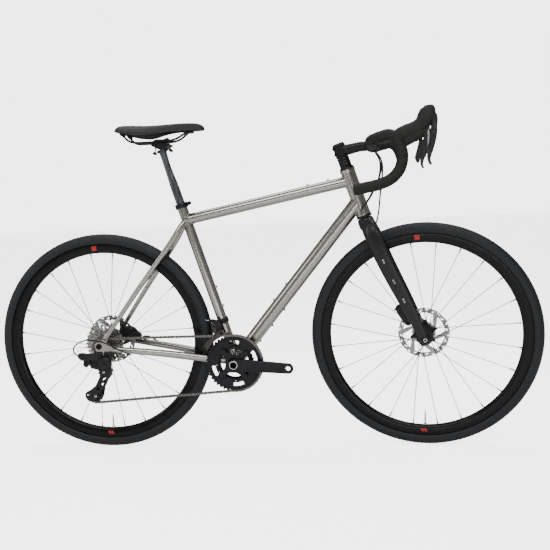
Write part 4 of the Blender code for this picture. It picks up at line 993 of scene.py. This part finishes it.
def cockpit():
    base = along(HEAD_MID, STEER_AXIS, 83.7)
    for i, (h0, h1) in enumerate(((0, 9.7), (10.0, 18.7), (19.0, 28.0))):
        piece("spacer_%d" % i, fresh(turned, base, STEER_AXIS, [(14.9, h0), (17.8, h0), (18.4, h0 + 0.8),
            (18.4, h1 - 0.8), (17.8, h1), (14.9, h1)], 48), "alloy", "front_end",
            *(["headset_spacers"] if i == 0 else []))
    mid = along(HEAD_MID, STEER_AXIS, 133)
    bm = bmesh.new()
    turned(bm, mid, STEER_AXIS, [(0, -20.3), (18.6, -20.3), (19.4, -19.4), (19.4, 19.4), (18.6, 20.3),
        (0.01, 20.3)], 48)
    swept(bm, [(mid[0] + 2, 0, mid[2] + 1, 16, 17), (800, 0, mid[2] + 4, 15.5, 16), (830, 0, 936, 15, 15),
        (852, 0, 937, 17, 15), (862, 0, 938, 21, 17)], 40, (0, 1, 0), 4, 2.6)
    turned(bm, (BAR[0], 0, BAR[2]), (0, 1, 0), [(0, -22.5), (20.0, -22.5), (20.6, -21.5), (20.6, 21.5),
        (20.0, 22.5), (0.01, 22.5)], 48)
    piece("stem_body", bm, "alloy", "front_end", "stem", remesh=1.6, relax=3)
    bm = bmesh.new()
    for h in (-9, 9):
        p = along(mid, STEER_AXIS, h)
        rod(bm, (p[0] - 17, -11, p[2] - 3), (p[0] - 17, 11, p[2] - 3), 4.6, sides=20)
        bolt(bm, (p[0] - 17, -11, p[2] - 3), (0, -1, 0), 3.4, 3.0)
    piece("stem_pinch_bolts", bm, "alloy", "front_end")
    arc = [(20.9 * cos(radians(a)), 20.9 * sin(radians(a))) for a in range(-86, 87, 8)]
    piece("faceplate", fresh(plate, BAR, arc + [(2.4, 20.9), (2.4, -20.9)], -22.3, 22.3), "lever_grey",
        "front_end", "stem_faceplate", bevel=1.2, segments=3)
    bm = bmesh.new()
    for y in (-15, 15):
        for z in (-16.5, 16.5):
            bolt(bm, (BAR[0] + 14.5, y, BAR[2] + z), (1, 0, 0.2 * (1 if z > 0 else -1)), 3.6, 3.0)
    piece("faceplate_bolts", bm, "alloy", "front_end")
    piece("steerer_cap", fresh(turned, along(HEAD_MID, STEER_AXIS, 153.5), STEER_AXIS,
        [(0, 0), (17.6, 0), (18.2, 0.8), (17.4, 3.2), (6, 4.2), (4.4, 4.2), (4.4, 2), (0.01, 2)], 40),
        "alloy", "front_end", "top_cap")


def bar_path(s):
    return [(BAR[0], -66 * s, BAR[2]), (BAR[0] + 1, -150 * s, BAR[2] + 2),
        (BAR[0] + 8, -184 * s, BAR[2] + 4), (BAR[0] + 26, -202 * s, BAR[2] + 9), (924, -208 * s, 951),
        (945, -211 * s, 934), (956.6, -214 * s, 897), (950, -218 * s, 862), (928, -222 * s, 836),
        (895, -227 * s, 821.5), (862, -231 * s, 815), (828.3, -235 * s, 809.8)]


def wrapped(bm, s):
    """Tape wound round the bar: each turn overlaps the last with a raised edge."""
    pts = [Vector(p) for p in spline(bar_path(s), 14)]
    run = [0.0]
    for a, b in zip(pts, pts[1:]):
        run.append(run[-1] + (b - a).length)
    total = run[-1]
    n = 300
    fine = []
    j = 0
    for i in range(n + 1):
        d = total * i / n
        while j < len(run) - 2 and run[j + 1] < d:
            j += 1
        f = (d - run[j]) / (run[j + 1] - run[j])
        fine.append(pts[j].lerp(pts[j + 1], f))
    world = [place(p) for p in fine]
    turn = 23.0
    rings = []
    sides = 40
    for i, (p, (side, other)) in enumerate(zip(world, frames(world, Vector((-0.3, 0, 1))))):
        d = total * i / n
        ring = []
        for k in range(sides):
            t = 2 * pi * k / sides
            phase = (d / turn + s * k / sides) % 1.0
            lift = 0.55 * (1 - phase) ** 0.6 + (0.35 if phase < 0.06 else 0)
            r = 15.1 + lift + 0.12 * noise.noise(Vector((p * 160))) - (2.2 if i in (0, n) else 0)
            ring.append(p + (side * cos(t) + other * sin(t)) * (r / 1000))
        rings.append(ring)
    loft(bm, rings)


def bars():
    piece("bar_centre", fresh(tube, [(BAR[0], y, BAR[2]) for y in (-70, -46, -40, -34, 34, 40, 46, 70)],
        [11.9, 11.9, 13.5, 15.9, 15.9, 13.5, 11.9, 11.9], 40, (0, 0, 1)), "alloy", "front_end", "handlebar")
    for side, s in (("right", 1), ("left", -1)):
        piece("wrapped_tape_" + side, fresh(wrapped, s), "tape", "front_end", "bar_tape_" + side, smooth=55)
        path = bar_path(s)
        d = (Vector(path[-1]) - Vector(path[-2])).normalized()
        piece("bar_plug_" + side, fresh(turned, path[-1], d, [(0, -2), (14.2, -2), (15.2, 0), (14.4, 2.4),
            (9, 3.2), (0.01, 3.2)], 36), "plastic", "front_end")
        piece("tape_finish_" + side, fresh(turned, (BAR[0], -64 * s, BAR[2]), (0, -s, 0),
            [(12.2, 0), (15.2, 0), (15.8, 1), (15.8, 15), (15.2, 16), (12.2, 16)], 40), "plastic",
            "front_end")


def levers():
    for side, s in (("right", 1), ("left", -1)):
        piece("rubber_hood_" + side, fresh(swept, [(936, -210 * s, 944, 12, 15),
            (952, -211 * s, 951, 14.5, 18), (970, -212 * s, 958, 15.5, 18.5),
            (990, -212 * s, 966, 15.5, 17), (1006, -213 * s, 975, 16, 19), (1016, -214 * s, 988, 16.5, 22),
            (1022, -214.5 * s, 1001, 16, 22), (1025, -215 * s, 1012, 13.5, 18),
            (1025, -215 * s, 1021, 8, 11)], 32, (0, 1, 0), 5, 2.35), "hood", "front_end", "hood_" + side,
            remesh=1.7, relax=5)
        piece("lever_bracket_" + side, fresh(swept, [(1002, -213 * s, 962, 7, 9),
            (1014, -214 * s, 968, 7.5, 10), (1026, -214.5 * s, 978, 7.5, 10), (1033, -215 * s, 988, 7, 8)],
            24, (0, 1, 0), 4, 3), "plastic", "front_end", remesh=1.2, relax=2)
        bm = bmesh.new()
        swept(bm, [(1034, -215.5 * s, 1003, 7, 5), (1038, -216 * s, 994, 9, 6.5),
            (1039, -216.4 * s, 982, 8.5, 7.5), (1038.5, -217 * s, 966, 6.5, 8.5),
            (1037, -218 * s, 948, 4.6, 9.5), (1033, -219.5 * s, 928, 3.8, 9.8),
            (1028, -221 * s, 906, 3.4, 8.2), (1024.5, -222 * s, 886, 3.2, 5.0),
            (1026, -222 * s, 875, 3.4, 3.8), (1030, -222 * s, 867, 3.6, 3.8)], 28, (0, 1, 0), 6, 2.6)
        lever = "brake_lever_" + side
        piece("lever_blade_" + side, bm, "lever_grey", lever, lever, smooth=60)
        piece("lever_cap_" + side, fresh(swept, [(1041, -216.2 * s, 1002, 5.5, 1.4),
            (1045.4, -216.4 * s, 994, 6.5, 1.8), (1047, -216.6 * s, 982, 5.5, 1.6),
            (1047, -216.9 * s, 972, 2.5, 1.0)], 20, (0, 1, 0), 5), "cap_grey", lever, smooth=60)
        bm = bmesh.new()
        plate(bm, (0, 0, 0), rounded([(1027, 968), (1030, 950), (1028, 926), (1016, 886), (1009, 884),
            (1001, 902), (1010, 934), (1017, 962)], 4, 4), -222 * s, -219.2 * s)
        paddle = "shift_paddle_" + side
        piece("paddle_" + side, bm, "plastic", paddle, paddle, bevel=1.0, segments=3)
        piece("paddle_edge_" + side, fresh(plate, (0, 0, 0), rounded([(1024.5, 960), (1026.5, 948),
            (1025, 926), (1021, 912), (1021.5, 934), (1022, 954)], 1.2, 3), -222.5 * s, -221.9 * s),
            "cap_grey", paddle)


fork()
cockpit()
bars()
levers()


# ------------------------------------------------------------------ crossing cables
def free_loop(name, points, node):
    """A hose from the handlebar to the down tube, its handlebar end turned with the bars at rest."""
    first = TURN @ place(points[0])
    second = TURN @ place(points[1])
    bm = bmesh.new()
    world = [tuple(first), tuple(second)] + [tuple(place(p)) for p in points[2:]]
    data = spline(world, 12)
    mm = [((x * 1000) + ROOT_X, y * 1000, z * 1000) for x, y, z in data]
    tube(bm, mm, 2.4, 14)
    bmesh.ops.recalc_face_normals(bm, faces=bm.faces)
    mesh = bpy.data.meshes.new(name)
    bm.to_mesh(mesh)
    bm.free()
    obj = bpy.data.objects.new(name, mesh)
    bpy.context.scene.collection.objects.link(obj)
    mesh.materials.append(MAT["hose"])
    mesh.shade_smooth()
    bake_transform(obj)
    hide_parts(node)


free_loop("rear_hose_loop", [(880, 22, 920), (896, 32, 892), (893, 33, 846), (866, 31, 788),
    (834, 27, 744)], "rear_brake_hose_loop")
free_loop("shift_loop", [(878, -36, 918), (893, -42, 886), (884, -42, 838), (858, -37, 786),
    (829, -27, 742)], "shift_housing_loop")


# ------------------------------------------------------------------ seat
def seat():
    top = Vector(POST_TOP)
    data = [(*along(SEAT_TOP, SEAT_AXIS, -150), 13.6, 13.6), (*along(SEAT_TOP, SEAT_AXIS, 30), 13.6, 13.6),
        (*along(SEAT_TOP, SEAT_AXIS, 60), 13.4, 13.3), (*along(SEAT_TOP, SEAT_AXIS, 90), 12.4, 11.8),
        (*along(SEAT_TOP, SEAT_AXIS, 120), 12.0, 10.8), (225.6, 0, 936, 12.4, 11.2), (*top, 13, 12.5)]
    piece("post", fresh(swept, data, 48, (0, 1, 0), 6), "post", "seat", "seatpost", smooth=60)
    piece("cradle_lower", fresh(plate, (221, 0, 967), rounded([(-29, 1), (-20, -3), (-10, -9), (12, -9),
        (20, -3), (28, 1), (27, 7), (10, 9), (-20, 8), (-28, 5)], 4), -26, 26), "alloy", "seat",
        "saddle_clamp", bevel=2.2, segments=4)
    piece("cradle_upper", fresh(plate, (221, 0, 967), rounded([(-22, 15), (-16, 20), (14, 20), (22, 24),
        (28, 20), (20, 12), (-18, 11)], 3), -28, 28), "alloy", "seat", bevel=1.8, segments=4)
    bm = bmesh.new()
    for x0, x1, z0, z1 in ((196.5, 203, 948, 990), (247.5, 240, 953, 994)):
        rod(bm, (x0, 0, z0), (x1, 0, z1), 2.1, sides=16)
    piece("clamp_bolts", bm, "steel", "seat")
    bm = bmesh.new()
    for x, z in ((196.0, 947), (248, 954)):
        rod(bm, (x, -9.5, z), (x, 9.5, z), 4.9, sides=28)
    for x, z, d in ((204, 950, 8), (238, 955, -4)):
        rod(bm, (x, 0, z), (x + d, 0, z + 3), 4.2, sides=20)
    piece("clamp_barrels", bm, "alloy", "seat", bevel=0.8)
    for side, s in (("right", 1), ("left", -1)):
        path = [(104, -36 * s, 1008), (114, -33 * s, 996), (128, -28 * s, 984), (146, -24 * s, 980.5),
            (180, -22 * s, 980), (225, -22 * s, 981), (256, -22 * s, 983), (276, -20 * s, 989),
            (292, -16 * s, 999), (306, -11 * s, 1008), (314, -7 * s, 1012)]
        piece("rail_" + side, fresh(tube, spline(path, 6), 3.4, 18), "alloy", "seat",
            *(["saddle_rails"] if s > 0 else []), smooth=60)
    # padded saddle: crowned top with a dropped flap each side and a hollow below
    stations = [(79.5, 26, 1024.6, 1016), (84, 44, 1029.5, 1015), (94, 58, 1034.0, 1012.5),
        (112, 66, 1035.6, 1008), (132, 68, 1035.2, 1003), (152, 66.5, 1034.4, 1000), (175, 60, 1033.8, 999),
        (195, 51, 1033.6, 1000.5), (218, 41, 1034.0, 1004.5), (245, 31, 1035.0, 1008.5),
        (280, 23.5, 1035.6, 1010.5), (310, 20, 1035.2, 1011), (335, 17, 1032.5, 1011),
        (350, 12.5, 1027, 1011), (357, 6, 1019, 1011.5)]
    data = spline([tuple(float(v) for v in st) for st in stations], 5)
    rings = []
    for x, w, hi, lo in data:
        ring = []
        channel = 2.4 * exp(-((x - 215) / 75) ** 2)
        sag = 1.6 * exp(-((x - 180) / 60) ** 2)
        for k in range(21):
            u = -1 + 2 * k / 20
            drop = (hi - lo) * (abs(u) ** 3.4)
            z = hi - sag - drop - channel * exp(-(u * w / 7) ** 2)
            ring.append(place((x, u * w * (1 - 0.06 * abs(u) ** 6), z)))
        under = []
        for k in range(13):
            u = 1 - 2 * k / 12
            roof = hi - 7.5 - (hi - lo) * (0.55 * abs(u) ** 3)
            roof = max(lo + 0.6, roof if w > 22 else lo + 0.6)
            under.append(place((x, u * w * 0.93, min(roof, hi - 6))))
        rings.append(ring + under)
    pad = piece("saddle_pad", fresh(loft, rings), "cover", "seat", "saddle", smooth=60)
    bpy.context.view_layer.update()
    bm = bmesh.new()
    edge = []
    for x, w, hi, lo in data[4:-3:2]:
        edge.append((x, w, lo))
    for s in (1, -1):
        tube(bm, [(x, s * (w * 0.955), lo + 0.4) for x, w, lo in edge], 1.3, 10)
    piece("saddle_edge_trim", bm, "plastic", "seat", smooth=60)
    bm = bmesh.new()
    plate(bm, (0, 0, 0), rounded([(98, 1012), (112, 1012), (116, 1000), (104, 1000)], 3), -42, -28)
    plate(bm, (0, 0, 0), rounded([(98, 1012), (112, 1012), (116, 1000), (104, 1000)], 3), 28, 42)
    plate(bm, (0, 0, 0), rounded([(300, 1010), (322, 1010), (322, 1004), (306, 1003)], 2), -12, 12)
    piece("rail_sockets", bm, "plastic", "seat", bevel=1.2)


seat()


# ------------------------------------------------------------------ floor, light, camera
FLOOR_GAP = 0.0015                  # metres between the floor and the tyres
FLOOR_GLOW = (0.0, 3.3)             # strength for the light, strength for the camera
WORLD_GLOW = (0.3, 4.2)
SENSOR_MM, FOCAL_TO_WIDTH = 36.0, 615.5 / 550
CAMERA_TURN = (-5.53, 6.2, -2.36)   # yaw, pitch and roll in degrees
CAMERA_AT = (0.744, -1.918, 0.762)  # metres from the rear axle, the middle plane and the ground


def stage():
    mesh = bpy.data.meshes.new("floor")
    bm = bmesh.new()
    bmesh.ops.create_grid(bm, x_segments=8, y_segments=8, size=30)
    bm.to_mesh(mesh)
    bm.free()
    floor = bpy.data.objects.new("floor", mesh)
    floor.location = (0, 0, -FLOOR_GAP)
    bpy.context.scene.collection.objects.link(floor)
    mat, nodes, links, shader = new_material("pale_floor")
    shader.inputs["Base Color"].default_value = (0.93, 0.93, 0.93, 1)
    shader.inputs["Roughness"].default_value = 0.9
    shader.inputs["Emission Color"].default_value = (1, 1, 1, 1)
    seen = nodes.new("ShaderNodeLightPath")
    glow = nodes.new("ShaderNodeMapRange")
    glow.inputs["To Min"].default_value, glow.inputs["To Max"].default_value = FLOOR_GLOW
    links.new(seen.outputs["Is Camera Ray"], glow.inputs["Value"])
    links.new(glow.outputs["Result"], shader.inputs["Emission Strength"])
    mesh.materials.append(mat)

    world = bpy.data.worlds.new("studio")
    world.use_nodes = True
    nodes, links = world.node_tree.nodes, world.node_tree.links
    back = nodes["Background"]
    back.inputs["Color"].default_value = (1, 1, 1, 1)
    seen = nodes.new("ShaderNodeLightPath")
    glow = nodes.new("ShaderNodeMapRange")
    glow.inputs["To Min"].default_value, glow.inputs["To Max"].default_value = WORLD_GLOW
    links.new(seen.outputs["Is Camera Ray"], glow.inputs["Value"])
    links.new(glow.outputs["Result"], back.inputs["Strength"])
    bpy.context.scene.world = world
    for name, loc, target, size, power in (("key_softbox", (0.3, -2.4, 2.7), (0.0, 0, 0.6), (3.4, 0.6), 75),
            ("top_softbox", (0.0, 0.5, 3.0), (0.0, 0, 0.5), (3.6, 0.8), 60),
            ("side_softbox", (-3.0, -1.4, 1.6), (-0.2, 0, 0.5), (0.6, 2.2), 30),
            ("low_softbox", (0.6, -3.0, 0.35), (0.0, 0, 0.4), (2.6, 0.25), 14)):
        light = bpy.data.lights.new(name, "AREA")
        light.shape = "RECTANGLE"
        light.size, light.size_y = size
        light.energy = power
        obj = bpy.data.objects.new(name, light)
        obj.location = loc
        obj.rotation_euler = (Vector(target) - Vector(loc)).to_track_quat("-Z", "Y").to_euler()
        bpy.context.scene.collection.objects.link(obj)

    yaw, pitch, roll = (radians(a) for a in CAMERA_TURN)
    fwd = Vector((sin(yaw) * cos(pitch), cos(yaw) * cos(pitch), -sin(pitch)))
    right = Vector((cos(yaw), -sin(yaw), 0))
    up = right.cross(fwd)
    right2 = right * cos(roll) + up * sin(roll)
    up2 = up * cos(roll) - right * sin(roll)
    cam = bpy.data.cameras.new("camera")
    cam.sensor_width, cam.lens = SENSOR_MM, FOCAL_TO_WIDTH * SENSOR_MM
    cam.clip_end = 100
    obj = bpy.data.objects.new("camera", cam)
    m = Matrix((right2, up2, -fwd)).transposed().to_4x4()
    m.translation = Vector((CAMERA_AT[0] - ROOT_X / 1000, *CAMERA_AT[1:]))
    obj.matrix_world = m
    bpy.context.scene.collection.objects.link(obj)
    bpy.context.scene.camera = obj


stage()
